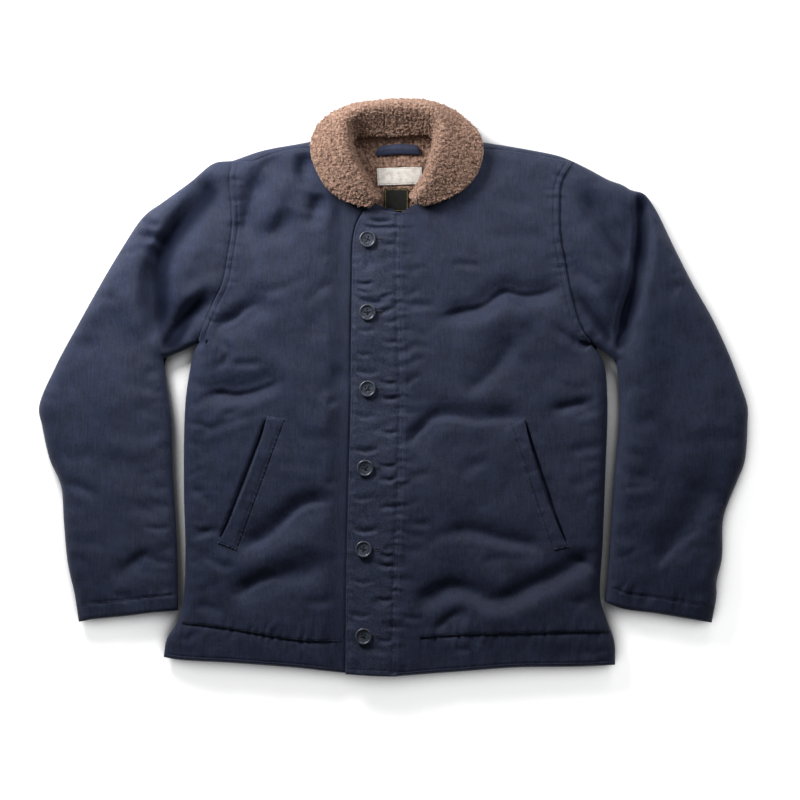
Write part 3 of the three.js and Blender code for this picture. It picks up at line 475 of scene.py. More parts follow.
@dataclass(frozen=True)
class Line:
    """A smooth line that is read by its length."""

    points: Array
    places: Array

    @classmethod
    def through(cls, rows: Rows, fineness: int = 24) -> "Line":
        """The smooth line through a table of points.

        Args:
            rows: The points, in order.
            fineness: How many steps lie between two points.

        Returns:
            The line.
        """
        knots = np.array(rows, float)
        if len(knots) == 2:
            return cls.along(spline(knots, np.linspace(0.0, 1.0, 9)))
        return cls.along(spline(knots, np.linspace(0.0, 1.0, fineness * (len(knots) - 1) + 1)))

    @classmethod
    def along(cls, points: Array) -> "Line":
        """The line that joins these points."""
        steps = np.linalg.norm(np.diff(points, axis=0), axis=1)
        return cls(points, np.concatenate([[0.0], np.cumsum(steps)]))

    @property
    def length(self) -> float:
        """The line's length."""
        return float(self.places[-1])

    def at(self, shares: Array) -> Array:
        """The points at these shares of the length.

        Args:
            shares: Shares of the length, from 0 to 1.

        Returns:
            One value or point for each place.
        """
        wanted = np.asarray(shares) * self.length
        columns = [np.interp(wanted, self.places, self.points[:, k]) for k in range(self.points.shape[1])]
        return np.stack(columns, axis=-1)

    def evenly(self, pitch: float) -> "Line":
        """The same line in straight steps of about one pitch."""
        count = max(int(round(self.length / pitch)), 1)
        return Line.along(self.at(np.linspace(0.0, 1.0, count + 1)))

    def part(self, start: float, end: float) -> "Line":
        """The stretch between two shares of the length."""
        return Line.along(self.at(np.linspace(start, end, 120)))

    def moved(self, left: float) -> "Line":
        """The line moved to its left by a distance.

        Args:
            left: How far to the left.

        Returns:
            The moved line.
        """
        heading = np.gradient(self.points[:, :2], axis=0)
        heading /= np.maximum(np.linalg.norm(heading, axis=1, keepdims=True), 1e-9)
        aside = np.stack([-heading[:, 1], heading[:, 0]], axis=-1)
        return Line.along(self.points[:, :2] + left * aside)

    def near(self, spots: Array, reach: float) -> Array:
        """The numbers of the spots inside the line's box and a reach round it.

        Args:
            spots: The places, (count, 2).
            reach: How far round the box.

        Returns:
            The numbers of those spots.
        """
        points = self.points[:, :2]
        low, high = points.min(axis=0) - reach, points.max(axis=0) + reach
        return np.flatnonzero(((spots > low) & (spots < high)).all(axis=1))

    def beside(self, spots: Array) -> Beside:
        """Where the spots, (count, 2), lie beside the line.

        Args:
            spots: The places.

        Returns:
            How far off each spot is, on which side, and how far along.
        """
        start = self.points[:-1, :2]
        step = np.diff(self.points[:, :2], axis=0)
        square = np.maximum((step**2).sum(axis=1), 1e-12)
        found: list[tuple[Array, ...]] = []
        for part in np.array_split(spots, max(1, len(spots) * len(start) // 1_500_000)):
            offset = part[:, None, :] - start[None]
            share = np.clip((offset * step).sum(axis=-1) / square, 0.0, 1.0)
            gaps = offset - share[..., None] * step
            best = (gaps**2).sum(axis=-1).argmin(axis=1)
            pick = np.arange(len(part)), best
            gap, size = gaps[pick], np.sqrt(square[best])
            far = np.linalg.norm(gap, axis=-1)
            turn = step[best, 0] * offset[pick][:, 1] - step[best, 1] * offset[pick][:, 0]
            side = np.where(turn >= 0.0, 1.0, -1.0)
            place = self.places[best] + share[pick] * size
            found.append((far, place, side, gap, step[best] / size[:, None]))
        return Beside(*(np.concatenate(column) for column in zip(*found)))


def border(rows: Rows) -> Border:
    """A patch's border through a table."""
    return Line.through(rows).at


def chained(first: Border, second: Border, place: float) -> Border:
    """Two borders end to end, which meet at the given share."""

    def at(shares: Array) -> Array:
        """The points at these shares."""
        shares = np.asarray(shares, float)
        early = first(np.clip(shares / place, 0.0, 1.0))
        late = second(np.clip((shares - place) / (1.0 - place), 0.0, 1.0))
        return np.where((shares <= place)[:, None], early, late)

    return at


def shifted(rows: Rows, across: float, up: float = 0.0) -> Rows:
    """A table moved by a little."""
    return [(x + across, y + up) for x, y in rows]


def paces(
    length: float,
    pitch: float,
    start: Sequence[float] = (),
    end: Sequence[float] = (),
    corner: float | None = None,
) -> Array:
    """Shares of a length at about one pitch, closer where its ends ask for it.

    Args:
        length: The length that is shared out.
        pitch: The usual step.
        start: Distances of the closer steps from its start.
        end: Distances of the closer steps from its end.
        corner: A share that is kept, where the border has a corner.

    Returns:
        The shares, from 0 to 1.
    """
    low = (max(start) if start else 0.0) / length
    high = 1.0 - (max(end) if end else 0.0) / length
    count = max(int(round((high - low) * length / pitch)), 1)
    kept = [0.0, 1.0, *(s / length for s in start), *(1.0 - s / length for s in end)]
    even = np.linspace(low, high, count + 1)
    if corner is not None:
        even[np.abs(even - corner).argmin()] = corner
    return np.unique(np.concatenate([kept, even]))


@dataclass(frozen=True)
class Patch:
    """A patch between four borders: top and bottom run with u, first and last run with v."""

    top: Border
    bottom: Border
    first: Border
    last: Border

    def grid(self, us: Array, vs: Array) -> Array:
        """The patch's points, (number of vs, number of us, 2).

        Args:
            us: Shares from the first side to the last.
            vs: Shares from the top to the bottom.

        Returns:
            The points.
        """
        top, bottom, first, last = self.top(us), self.bottom(us), self.first(vs), self.last(vs)
        u, v = us[None, :, None], vs[:, None, None]
        ruled = (1 - v) * top[None] + v * bottom[None] + (1 - u) * first[:, None] + u * last[:, None]
        above = (1 - u) * (1 - v) * top[0] + u * (1 - v) * top[-1]
        below = (1 - u) * v * bottom[0] + u * v * bottom[-1]
        return ruled - above - below


@dataclass(frozen=True)
class FoldedEdges:
    """The folded edges that round a piece, each with its outside on the left of its line or not."""

    lines: tuple[Line, ...]
    outside: tuple[float, ...]

    @classmethod
    def of(cls, half: Half, sleeve: bool) -> "FoldedEdges":
        """The edges that round a body piece or a sleeve piece of one half.

        Args:
            half: The half of the garment.
            sleeve: Whether it is the sleeve.

        Returns:
            The edges.
        """
        shoulder = np.concatenate(
            [Line.through(half.shoulder).points, Line.through(half.sleeve_outer).points[1:]]
        )
        under = Line.through(half.underarm[::-1]).points
        if sleeve:
            lower = np.concatenate([Line.through(half.sleeve_inner[::-1]).points, under[1:]])
        else:
            lower = np.concatenate([under, Line.through(half.flank).points[1:]])
        lines = (Line.along(shoulder).evenly(3.0), Line.along(lower).evenly(3.0))
        return cls(lines, (-half.inward, -half.inward))

    def joined(self, other: "FoldedEdges") -> "FoldedEdges":
        """These edges and the other's."""
        return FoldedEdges(self.lines + other.lines, self.outside + other.outside)

    def roll(self, spots: Array) -> tuple[Array, Array, Array]:
        """How far the cloth is turned over at each spot.

        Args:
            spots: Places, (count, 2).

        Returns:
            The spots, moved back to an edge that they lie beyond; the turn, 0 on the flat and 1 at a
            folded edge; and the unit direction out, (count, 2).
        """
        nearest = np.full(len(spots), 1e9)
        out = np.zeros((len(spots), 2))
        spots = spots.copy()
        for line, outside in zip(self.lines, self.outside):
            found = line.beside(spots)
            aside = np.stack([-found.heading[:, 1], found.heading[:, 0]], axis=-1) * outside
            towards = -found.gap / np.maximum(found.far, 1e-9)[:, None]
            facing = (towards * aside).sum(axis=-1)
            beyond = (facing < -0.3) & (found.far < 15.0) & (found.along > 1.0)
            beyond &= found.along < line.length - 1.0
            inside = ((found.far > 3.0) | (facing > 0.3)) & ~beyond
            far = np.where(inside, found.far, 0.0)
            spots = np.where(beyond[:, None], spots - found.gap, spots)
            closer = far < nearest
            nearest = np.where(closer, far, nearest)
            out = np.where(closer[:, None], np.where(inside[:, None], towards, aside), out)
        return spots, 1.0 - np.minimum(nearest / ROLL, 1.0), out


@dataclass(frozen=True)
class Groove:
    """A seam or a row of stitches that draws the cloth in along a line.

    A ledge is a drop on one side, the line's left where low is 1, which eases out over 10 mm.
    """

    line: Line
    depth: float
    width: float
    pucker: float
    reach: float = 12.0
    ledge: float = 0.0
    low: float = 1.0


@dataclass
class Drape:
    """The lie of the upper cloth: its height, its folds and creases, and where sewing draws it in."""

    hem_drop: float = 3.0
    cuff_drop: float = 2.0
    middle_x: float = -22.0
    middle_width: float = 60.0
    middle_rise: float = 1.5
    middle_firmness: float = 0.75
    middle_least: float = 6.0
    stitch_inset: float = 6.8
    wrinkles: Rows = ((78.0, 2.2), (37.0, 1.2), (17.0, 0.5), (7.0, 0.18))
    broad_depth: float = 0.8
    crease_depth: float = 0.85
    crease_width: float = 1.2
    lip: float = 0.16
    # Painted fold shade: the dip of a crease where its shade starts and where it is full, and the lift below
    # which a sleeve's crease takes it
    fold_shade_range: tuple[float, float] = (1.2, 7.5)
    deep_lift: float = -4.5
    grooves: list[Groove] = field(default_factory=list)
    edge_creases: list[Fold] = field(default_factory=list)

    def __post_init__(self) -> None:
        """Lists the small creases and the sewing that draws the cloth in."""
        self.edge_creases = self._short_creases()
        for half in HALVES:
            armhole = Line.through(half.armhole)
            body_row = armhole.moved(self.stitch_inset * half.inward)
            cuff_row = Line.through(half.cuff).moved(21.0 * half.inward)
            seam = Line.through(half.shoulder_seam)
            self.grooves += [
                Groove(armhole, 1.4, 1.0, 0.9, 14.0, 3.4, -half.inward),
                Groove(body_row, 1.1, 0.9, 0.5),
                Groove(seam, 1.2, 1.5, 0.4, 12.0, 0.8, half.inward),
                Groove(cuff_row, 1.2, 1.5, 1.0, 14.0, 0.8, -half.inward),
                Groove(Line.through(half.hem_line), 1.4, 1.3, 1.3, 18.0, 3.0, -half.inward),
                Groove(Line.through(half.hem).moved(5.6 * half.inward), 0.7, 1.1, 0.5),
            ]
        self.grooves += [
            Groove(Line.through(PLACKET_SEAM), 1.0, 1.0, 0.9, 12.0, 0.5, -1.0),
            Groove(Line.through(PLACKET_SEAM).moved(-4.0), 1.7, 3.6, 0.5, 14.0),
            Groove(Line.through(PLACKET_EDGE).moved(3.2), 0.9, 0.9, 0.6, 9.0),
        ]
        self.grooves += [
            Groove(row, 0.6, 1.1, 0.3, 8.0) for welt in WELTS for row in welt.stitch_rows()
        ]
        self.grooves += [Groove(welt.slit(), 5.5, 2.6, 0.2, 8.0) for welt in WELTS]

    def _short_creases(self) -> list[Fold]:
        """Small creases that run in from the folded edges and the placket's seam, no two alike.

        Returns:
            The creases.
        """
        rng = np.random.default_rng(11)
        folds = []
        for half in HALVES:
            edges = (
                (half.flank, half.inward, 1.0),
                (half.sleeve_inner, -half.inward, 0.9),
                (half.sleeve_outer, half.inward, 0.7),
                (half.front_edge, -half.inward, 0.7),
            )
            for rows, inward, scale in edges:
                line = Line.through(rows)
                place = rng.uniform(10.0, 24.0)
                while place < line.length - 8.0:
                    length = scale * rng.uniform(18.0, 62.0)
                    start = line.at(np.array([place / line.length]))[0]
                    heading = math.radians(rng.uniform(-28.0, 28.0))
                    reach = np.array([math.cos(heading) * inward, math.sin(heading)]) * length
                    bend = start + 0.5 * reach + (0.0, rng.uniform(-0.14, 0.14) * length)
                    depth = -scale * rng.uniform(0.5, 1.9)
                    folds.append(Fold((start, bend, start + reach), rng.uniform(3.2, 6.5), depth))
                    place += rng.uniform(12.0, 36.0)
        return folds

    def _lift(self, spots: Array, fold: Fold, lipped: bool) -> Array:
        """The lift that one fold gives each spot, with soft lips beside it where it is a crease.

        Args:
            spots: The places, (count, 2).
            fold: The fold.
            lipped: Whether it has lips.

        Returns:
            One value or point for each place.
        """
        line = Line.through(fold.line, 8)
        lift = np.zeros(len(spots))
        width = fold.width * (self.crease_width if lipped else 1.0)
        near = line.near(spots, 3.2 * width)
        if not len(near):
            return lift
        found = line.evenly(width).beside(spots[near])
        taper = min(0.35 * line.length, 30.0)
        ends = smooth(found.along, 0.0, taper) * smooth(line.length - found.along, 0.0, taper)
        across = found.far / (width * (1.0 + 0.9 * fold.lean * found.side))
        shape = np.exp(-(across**2))
        if lipped:
            shape -= self.lip * np.exp(-(((across - 1.9) / 0.9) ** 2))
            uneven = noise(found.along, 0.0 * found.along, 14.0 + 2.5 * width, int(line.length) % 97)
            shape *= self.crease_depth * (0.9 + min(0.4, 2.4 / width) * uneven)
        lift[near] = fold.lift * ends * shape
        return lift

    def middle(self, spots: Array) -> Array:
        """How much a spot is over the doubled cloth of the fronts."""
        across = np.abs(spots[:, 0] - self.middle_x)
        return np.exp(-((across / self.middle_width) ** 2)) * smooth(across, 150.0, 40.0)

    def broad(self, spots: Array) -> Array:
        """The height of the upper cloth with its broad folds, before it rolls down at an edge.

        Args:
            spots: The places, (count, 2).

        Returns:
            One value or point for each place.
        """
        x, y = spots[:, 0], spots[:, 1]
        middle = self.middle(spots)
        hem = self.hem_drop * smooth(y, -300.0, -350.0) * (1.0 - middle)
        cuff = self.cuff_drop * smooth(y, -230.0, -290.0) * smooth(np.abs(x), 260.0, 300.0)
        folds = self.broad_depth * sum(self._lift(spots, fold, False) for fold in BROAD_FOLDS)
        height = TOP_HEIGHT + self.middle_rise * middle - hem - cuff
        height = height + folds * (1.0 - self.middle_firmness * middle)
        least = LEAST_TOP + self.middle_least * middle
        soft = 2.0
        return least + soft * np.log1p(np.exp((height - least) / soft))

    def detail(self, spots: Array) -> Array:
        """The creases, wrinkles, seams and stitch rows of the outer cloth.

        Args:
            spots: The places, (count, 2).

        Returns:
            One value or point for each place.
        """
        x, y = spots[:, 0], spots[:, 1]
        lift = sum(self._lift(spots, crease, True) for crease in (*CREASES, *self.edge_creases))
        for seed, (cell, height) in enumerate(self.wrinkles):
            turned = 0.9 * x + 0.45 * y, 0.9 * y - 0.45 * x
            lift = lift + height * noise(turned[0], turned[1], cell, seed)
        for seed, groove in enumerate(self.grooves):
            lift = lift + self._drawn_in(spots, groove, seed)
        return lift

    def _drawn_in(self, spots: Array, groove: Groove, seed: int) -> Array:
        """The dip and the puckers that one row of sewing gives.

        Args:
            spots: The places, (count, 2).
            groove: The row of sewing.
            seed: Which puckers.

        Returns:
            One value or point for each place.
        """
        lift = np.zeros(len(spots))
        near = groove.line.near(spots, 2.2 * groove.reach)
        if not len(near):
            return lift
        found = groove.line.evenly(4.0).beside(spots[near])
        ends = smooth(found.along, 0.0, 3.0) * smooth(groove.line.length - found.along, 0.0, 3.0)
        slant = found.along + 0.35 * found.far * noise(found.along, found.far, 23.0, seed + 11)
        puckers = noise(slant, 0.22 * found.far, 5.2, seed) + 0.6 * noise(slant, 0.2 * found.far, 11.0, seed)
        shape = -groove.depth * np.exp(-((found.far / groove.width) ** 2))
        below = smooth(found.far * found.side * groove.low, -0.6, 0.9)
        shape = shape - groove.ledge * below * np.exp(-found.far / 10.0)
        shape = shape + groove.pucker * puckers * np.exp(-((found.far / groove.reach) ** 2))
        lift[near] = ends * shape
        return lift

    def wear_sheen_and_fold_shade(self, spots: Array) -> Array:
        """How much the cloth is rubbed beside its seams, less the shade painted deep in a fold.

        Args:
            spots: The places, (count, 2).

        Returns:
            One value for each place, below 0 where shade is painted in a fold.
        """
        rubbed = np.zeros(len(spots))
        for groove in self.grooves:
            near = groove.line.near(spots, 8.0)
            if len(near):
                far = groove.line.evenly(6.0).beside(spots[near]).far
                rubbed[near] = np.maximum(rubbed[near], np.exp(-(((far - 2.2) / 1.8) ** 2)))
        fold_shade = self.fold_shade(spots)
        # the rub, less the painted fold shade, which takes the value below 0
        return rubbed * (1.0 - fold_shade) - fold_shade

    def fold_shade(self, spots: Array) -> Array:
        """How much shade is painted on the cloth deep in a sleeve's fold, from 0 to 1, darkening and dulling
        it there.

        Args:
            spots: The places, (count, 2).

        Returns:
            One value for each place.
        """
        deep = [
            crease for crease in CREASES if crease.lift < self.deep_lift and abs(crease.line[0][0]) > 200
        ]
        lift = sum(self._lift(spots, crease, True) for crease in deep)
        return smooth(-lift, *self.fold_shade_range)


@dataclass(frozen=True)
class Welt:
    """A slanting pocket welt: its open edge and its sewn edge, both from the top down."""

    side: Side
    open_edge: Rows
    sewn_edge: Rows
    gape: float = 6.5
    row_gap: float = 2.6

    @property
    def inward(self) -> float:
        """The sign of a move to the line's left that goes towards the welt from its open edge."""
        return 1.0 if self.side is Side.RIGHT else -1.0

    def slit(self) -> Line:
        """The pocket's mouth, just outside the free edge of the welt."""
        return Line.through(self.open_edge).moved(0.35 * self.gape * self.inward).part(0.03, 0.97)

    def stitch_rows(self) -> list[Line]:
        """The rows that hold the welt: two along its sewn edge and one along the mouth."""
        sewn = Line.through(self.sewn_edge)
        return [sewn, sewn.moved(-self.row_gap * self.inward), Line.through(self.open_edge)]


WELTS = (
    Welt(Side.RIGHT, ((-162, -38), (-224, -199)), ((-140, -42), (-201, -208))),
    Welt(Side.LEFT, ((168, -41), (223, -204)), ((151, -46), (205, -208))),
)


class Value:
    """A node's output that can be used in sums."""

    def __init__(self, graph: "Graph", socket: bpy.types.NodeSocket) -> None:
        """Keeps the socket and the graph that new nodes go into."""
        self.graph = graph
        self.socket = socket

    def _math(self, operation: str, *others: "Value | float") -> "Value":
        """A Math node on this value and the others."""
        inputs = {index: other for index, other in enumerate((self, *others))}
        return self.graph.add("ShaderNodeMath", {"operation": operation}, inputs)

    def __add__(self, other: "Value | float") -> "Value":
        """The sum."""
        return self._math("ADD", other)

    __radd__ = __add__

    def __mul__(self, other: "Value | float") -> "Value":
        """The product."""
        return self._math("MULTIPLY", other)

    __rmul__ = __mul__

    def __sub__(self, other: "Value | float") -> "Value":
        """The difference."""
        return self._math("SUBTRACT", other)

    def __rsub__(self, other: float) -> "Value":
        """The difference from a number."""
        return (self * -1.0) + other

    def sine(self) -> "Value":
        """The sine."""
        return self._math("SINE")

    def between(self, low: float, high: float) -> "Value":
        """A share from 0 at the low value to 1 at the high one, kept in that range."""
        settings = {"interpolation_type": "SMOOTHSTEP"}
        return self.graph.add("ShaderNodeMapRange", settings, {"Value": self, 1: low, 2: high})


class Graph:
    """The nodes of one material."""

    def __init__(self, name: str) -> None:
        """Starts an empty material.

        Args:
            name: The material's name.
        """
        self.material = bpy.data.materials.new(name)
        self.material.use_nodes = True
        self.nodes = self.material.node_tree.nodes
        self.links = self.material.node_tree.links
        self.nodes.clear()

    def add(
        self,
        kind: str,
        settings: dict[str, object] | None = None,
        inputs: dict[str | int, object] | None = None,
        output: str | int = 0,
    ) -> Value:
        """Adds a node.

        Args:
            kind: The node's type.
            settings: Its own settings, which are set first.
            inputs: Values or links for its sockets, by name or number.
            output: The output that is wanted.

        Returns:
            That output.
        """
        node = self.nodes.new(kind)
        for key, value in (settings or {}).items():
            setattr(node, key, value)
        for key, value in (inputs or {}).items():
            if isinstance(value, Value):
                self.links.new(value.socket, node.inputs[key])
            else:
                node.inputs[key].default_value = value
        return Value(self, node.outputs[output]) if len(node.outputs) else Value(self, None)

    def attribute(self, name: str) -> Value:
        """A number that the mesh carries at each vertex."""
        settings = {"attribute_type": "GEOMETRY", "attribute_name": name}
        return self.add("ShaderNodeAttribute", settings, output="Fac")

    def grain(self) -> tuple[Value, Value]:
        """The place on the cloth across and along its grain, in metres.

        Returns:
            The two places.
        """
        flat = self.add("ShaderNodeUVMap")
        across = self.add("ShaderNodeSeparateXYZ", inputs={"Vector": flat}, output="X")
        along = self.add("ShaderNodeSeparateXYZ", inputs={"Vector": flat}, output="Y")
        return across, along

    def mottle(self, size: float, detail: float = 2.0, stretch: Sequence[float] = (1.0, 1.0, 1.0)) -> Value:
        """A random pattern in the object's space whose patches are about one size across, in metres.

        Args:
            size: How large a patch is, in metres.
            detail: How many finer layers it has.
            stretch: How fine it is along each axis, below 1 where it is drawn out.

        Returns:
            The pattern, from 0 to 1.
        """
        place = self.add("ShaderNodeTexCoord", output="Object")
        scaled = self.add("ShaderNodeMapping", inputs={"Vector": place, "Scale": tuple(stretch)})
        inputs = {"Vector": scaled, "Scale": 1.0 / size, "Detail": detail}
        return self.add("ShaderNodeTexNoise", inputs=inputs)

    def blend(self, share: "Value | float", low: object, high: object) -> Value:
        """A colour between two others."""
        return self.add(
            "ShaderNodeMix",
            {"data_type": "RGBA"},
            {0: share, 6: low, 7: high},
            output=2,
        )

    def bump(self, height: Value, strength: float, distance: float) -> Value:
        """A normal from a height."""
        inputs = {"Height": height, "Strength": strength, "Distance": distance}
        return self.add("ShaderNodeBump", inputs=inputs)

    def surface(
        self,
        inputs: dict[str | int, object],
        shadow: dict[str | int, object] | None = None,
        share: Value | None = None,
    ) -> bpy.types.Material:
        """Closes the material with a principled surface, or with two that are mixed.

        Args:
            inputs: Values or links for the surface's sockets.
            shadow: The same for a second surface, if there is one.
            share: How much of the second surface shows, from 0 to 1.

        Returns:
            The finished material.
        """
        shader = self.add("ShaderNodeBsdfPrincipled", inputs=inputs)
        if shadow is not None:
            second = self.add("ShaderNodeBsdfPrincipled", inputs=shadow)
            shader = self.add("ShaderNodeMixShader", inputs={0: share, 1: shader, 2: second})
        self.add("ShaderNodeOutputMaterial", inputs={"Surface": shader})
        return self.material


def tint(colour: Sequence[float], factor: float = 1.0) -> tuple[float, float, float, float]:
    """A colour with full cover, made lighter or darker by a factor."""
    return (colour[0] * factor, colour[1] * factor, colour[2] * factor, 1.0)


@dataclass(frozen=True)
class ClothFinish:
    """The ribbed navy cotton cloth: fine ribs along the grain, slubs, rubbed seams, and shade painted deep in
    the sleeves' folds.
    """

    name: str = "navy jungle cloth"
    colour: tuple[float, float, float] = (0.0165, 0.023, 0.053)
    # the lighter colour of rubbed cloth, also used as painted sheen over the whole placket
    worn_and_sheen: tuple[float, float, float] = (0.055, 0.066, 0.112)
    # painted shade: the near-black colour that is mixed in deep in the sleeves' folds
    deep: tuple[float, float, float] = (0.0035, 0.0055, 0.015)
    rib: float = 1.15
    roughness: float = 0.58
    sheen: float = 0.08

    def material(self) -> bpy.types.Material:
        """Builds the material.

        Returns:
            The finished material.
        """
        graph = Graph(self.name)
        across, along = graph.grain()
        wobble = graph.mottle(0.012)
        ribs = (across * (math.tau / (self.rib * MM)) + wobble * 3.0).sine()
        picks = (along * (math.tau / (0.55 * MM)) + wobble * 2.0).sine()
        slubs = graph.mottle(0.0016, 3.0, (1.0, 0.07, 1.0))
        fleck = graph.mottle(0.0026, 4.0)
        patches = graph.mottle(0.024, 3.0)
        tone = slubs * 0.8 + fleck * 0.7 + patches * 0.5 + ribs * 0.06
        shade = graph.blend(tone.between(0.65, 1.35), tint(self.colour, 0.62), tint(self.colour, 1.42))
        # the rub, painted sheen on the placket, and below 0 the painted fold shade
        wear_sheen_and_fold_shade = graph.attribute("wear_sheen_and_fold_shade")
        rub_and_sheen = wear_sheen_and_fold_shade.between(0.0, 4.0) * 4.0 * fleck.between(0.3, 0.75)
        base = graph.blend(rub_and_sheen * 0.12, shade, tint(self.worn_and_sheen))
        # painted shade: where the attribute falls below 0, a dark, dull surface is mixed in
        fold_shade_share = (0.0 - wear_sheen_and_fold_shade).between(0.0, 1.0) * 0.88
        height = ribs * 0.7 + picks * 0.15 + slubs * 1.4 + fleck * 1.2
        bump = graph.bump(height, 0.55, 0.00035)
        return graph.surface(
            {
                "Base Color": base,
                "Roughness": self.roughness + 0.1 * fleck,
                "Specular IOR Level": 0.3,
                "Sheen Weight": self.sheen,
                "Sheen Roughness": 0.45,
                "Sheen Tint": (0.62, 0.68, 0.9, 1.0),
                "Normal": bump,
            },
            # the painted shade's surface: near black, rough and with little shine
            {"Base Color": tint(self.deep), "Roughness": 0.9, "Specular IOR Level": 0.04, "Normal": bump},
            fold_shade_share,
        )


@dataclass(frozen=True)
class PileFinish:
    """The curly brown pile: painted light on its tips, painted shade in its gaps, and a tone that wanders."""

    name: str = "brown curly pile"
    # painted shade and light: the colours in the gaps between the lumps and on their tips
    gap: tuple[float, float, float] = (0.13, 0.072, 0.05)
    tip: tuple[float, float, float] = (0.42, 0.262, 0.193)
    roughness: float = 0.95

    def material(self) -> bpy.types.Material:
        """Builds the material.

        Returns:
            The finished material.
        """
        graph = Graph(self.name)
        depth = graph.attribute("depth")
        fibre = graph.mottle(0.0011, 4.0)
        patches = graph.mottle(0.013, 3.0)
        # the depth value paints shade into the gaps and light onto the tips
        share = (depth * 0.95 + fibre * 0.35 + patches * 0.3 - 0.3).between(0.0, 1.0)
        base = graph.blend(share, tint(self.gap), tint(self.tip))
        return graph.surface(
            {
                "Base Color": base,
                "Roughness": self.roughness - 0.1 * fibre,
                "Specular IOR Level": 0.15,
                "Sheen Weight": 0.35,
                "Sheen Roughness": 0.6,
                "Sheen Tint": (0.95, 0.8, 0.7, 1.0),
                "Normal": graph.bump(fibre, 0.6, 0.0008),
            }
        )


@dataclass(frozen=True)
class ButtonFinish:
    """Dark grey moulded plastic with a satin polish, a faint cloud and fine scratches."""

    name: str = "dark grey button plastic"
    colour: tuple[float, float, float] = (0.04, 0.048, 0.066)

    def material(self) -> bpy.types.Material:
        """Builds the material.

        Returns:
            The finished material.
        """
        graph = Graph(self.name)
        cloud = graph.mottle(0.004, 3.0)
        scratch = graph.mottle(0.0012, 2.0, (1.0, 0.15, 1.0))
        base = graph.blend(cloud.between(0.35, 0.7), tint(self.colour, 0.75), tint(self.colour, 1.6))
        return graph.surface(
            {
                "Base Color": base,
                "Roughness": 0.26 + 0.2 * scratch,
                "Specular IOR Level": 0.6,
                "Coat Weight": 0.25,
                "Coat Roughness": 0.2,
                "Normal": graph.bump(scratch, 0.25, 0.0001),
            }
        )


@dataclass(frozen=True)
class ThreadFinish:
    """Twisted sewing thread."""

    name: str
    colour: tuple[float, float, float]

    def material(self) -> bpy.types.Material:
        """Builds the material.

        Returns:
            The finished material.
        """
        graph = Graph(self.name)
        twist = graph.mottle(0.0007, 2.0)
        base = graph.blend(twist.between(0.3, 0.7), tint(self.colour, 0.6), tint(self.colour, 1.5))
        return graph.surface(
            {
                "Base Color": base,
                "Roughness": 0.55 + 0.2 * twist,
                "Specular IOR Level": 0.35,
                "Normal": graph.bump(twist, 0.5, 0.0002),
            }
        )


@dataclass(frozen=True)
class TapeFinish:
    """Woven label tape, with an even weave and a little soil."""

    name: str
    colour: tuple[float, float, float]
    soil: tuple[float, float, float]
    weave: float = 0.45

    def material(self) -> bpy.types.Material:
        """Builds the material.

        Returns:
            The finished material.
        """
        graph = Graph(self.name)
        across, along = graph.grain()
        threads = (across * (math.tau / (self.weave * MM))).sine()
        picks = (along * (math.tau / (self.weave * MM))).sine()
        stain = graph.mottle(0.006, 4.0)
        fuzz = graph.mottle(0.0009, 3.0)
        base = graph.blend((stain * 0.7 + fuzz * 0.5).between(0.45, 0.9), tint(self.colour), tint(self.soil))
        return graph.surface(
            {
                "Base Color": base,
                "Roughness": 0.75 + 0.15 * fuzz,
                "Specular IOR Level": 0.3,
                "Normal": graph.bump(threads * picks + fuzz * 0.8, 0.6, 0.00015),
            }
        )


@dataclass(frozen=True)
class FloorFinish:
    """The pale paper that the garment is laid on, glowing evenly, with painted shadow in the gaps and beside
    the garment.
    """

    colour: tuple[float, float, float] = (0.83, 0.83, 0.83)
    glow: float = 0.98
    shade_reach: float = 0.07

    def material(self) -> bpy.types.Material:
        """Builds the material.

        Returns:
            The finished material.
        """
        graph = Graph("pale paper")
        paper = graph.mottle(0.004, 4.0)
        base = graph.blend(paper.between(0.3, 0.7), tint(self.colour, 0.97), tint(self.colour))
        openness = graph.add(
            "ShaderNodeAmbientOcclusion", {"samples": 8}, {"Distance": self.shade_reach}, output="AO"
        )
        # painted shadow: the glow fades where the garment is close by
        glow = graph.blend(openness.between(0.45, 0.92), tint(self.colour, 0.02), tint(self.colour))
        # painted shadow: the paper's colour is darkened in narrow gaps, such as those between the sleeves and
        # the body
        base = graph.blend(openness.between(0.12, 0.5), tint(self.colour, 0.12), base)
        return graph.surface(
            {
                "Base Color": base,
                "Roughness": 0.9 + 0.05 * paper,
                "Specular IOR Level": 0.1,
                "Emission Color": glow,
                "Emission Strength": self.glow,
            }
        )


@dataclass(frozen=True)
class Finishes:
    """Every material of the jacket, made once."""

    navy: bpy.types.Material
    pile: bpy.types.Material
    button: bpy.types.Material
    thread: bpy.types.Material
    dark: bpy.types.Material
    gold: bpy.types.Material
    white_tape: bpy.types.Material
    black_tape: bpy.types.Material

    @classmethod
    def make(cls) -> "Finishes":
        """Makes them."""
        return cls(
            navy=ClothFinish().material(),
            pile=PileFinish().material(),
            button=ButtonFinish().material(),
            thread=ThreadFinish("navy thread", (0.04, 0.048, 0.082)).material(),
            # painted shade: the near-black finish of the buttonhole slits and of the threads down in the
            # buttons' holes
            dark=ThreadFinish("thread in shadow", (0.006, 0.007, 0.011)).material(),
            gold=ThreadFinish("dull gold thread", (0.5, 0.38, 0.1)).material(),
            white_tape=TapeFinish("white woven tape", (0.80, 0.77, 0.72), (0.52, 0.47, 0.41)).material(),
            black_tape=TapeFinish("black woven tape", (0.006, 0.006, 0.006), (0.013, 0.013, 0.01)).material(),
        )


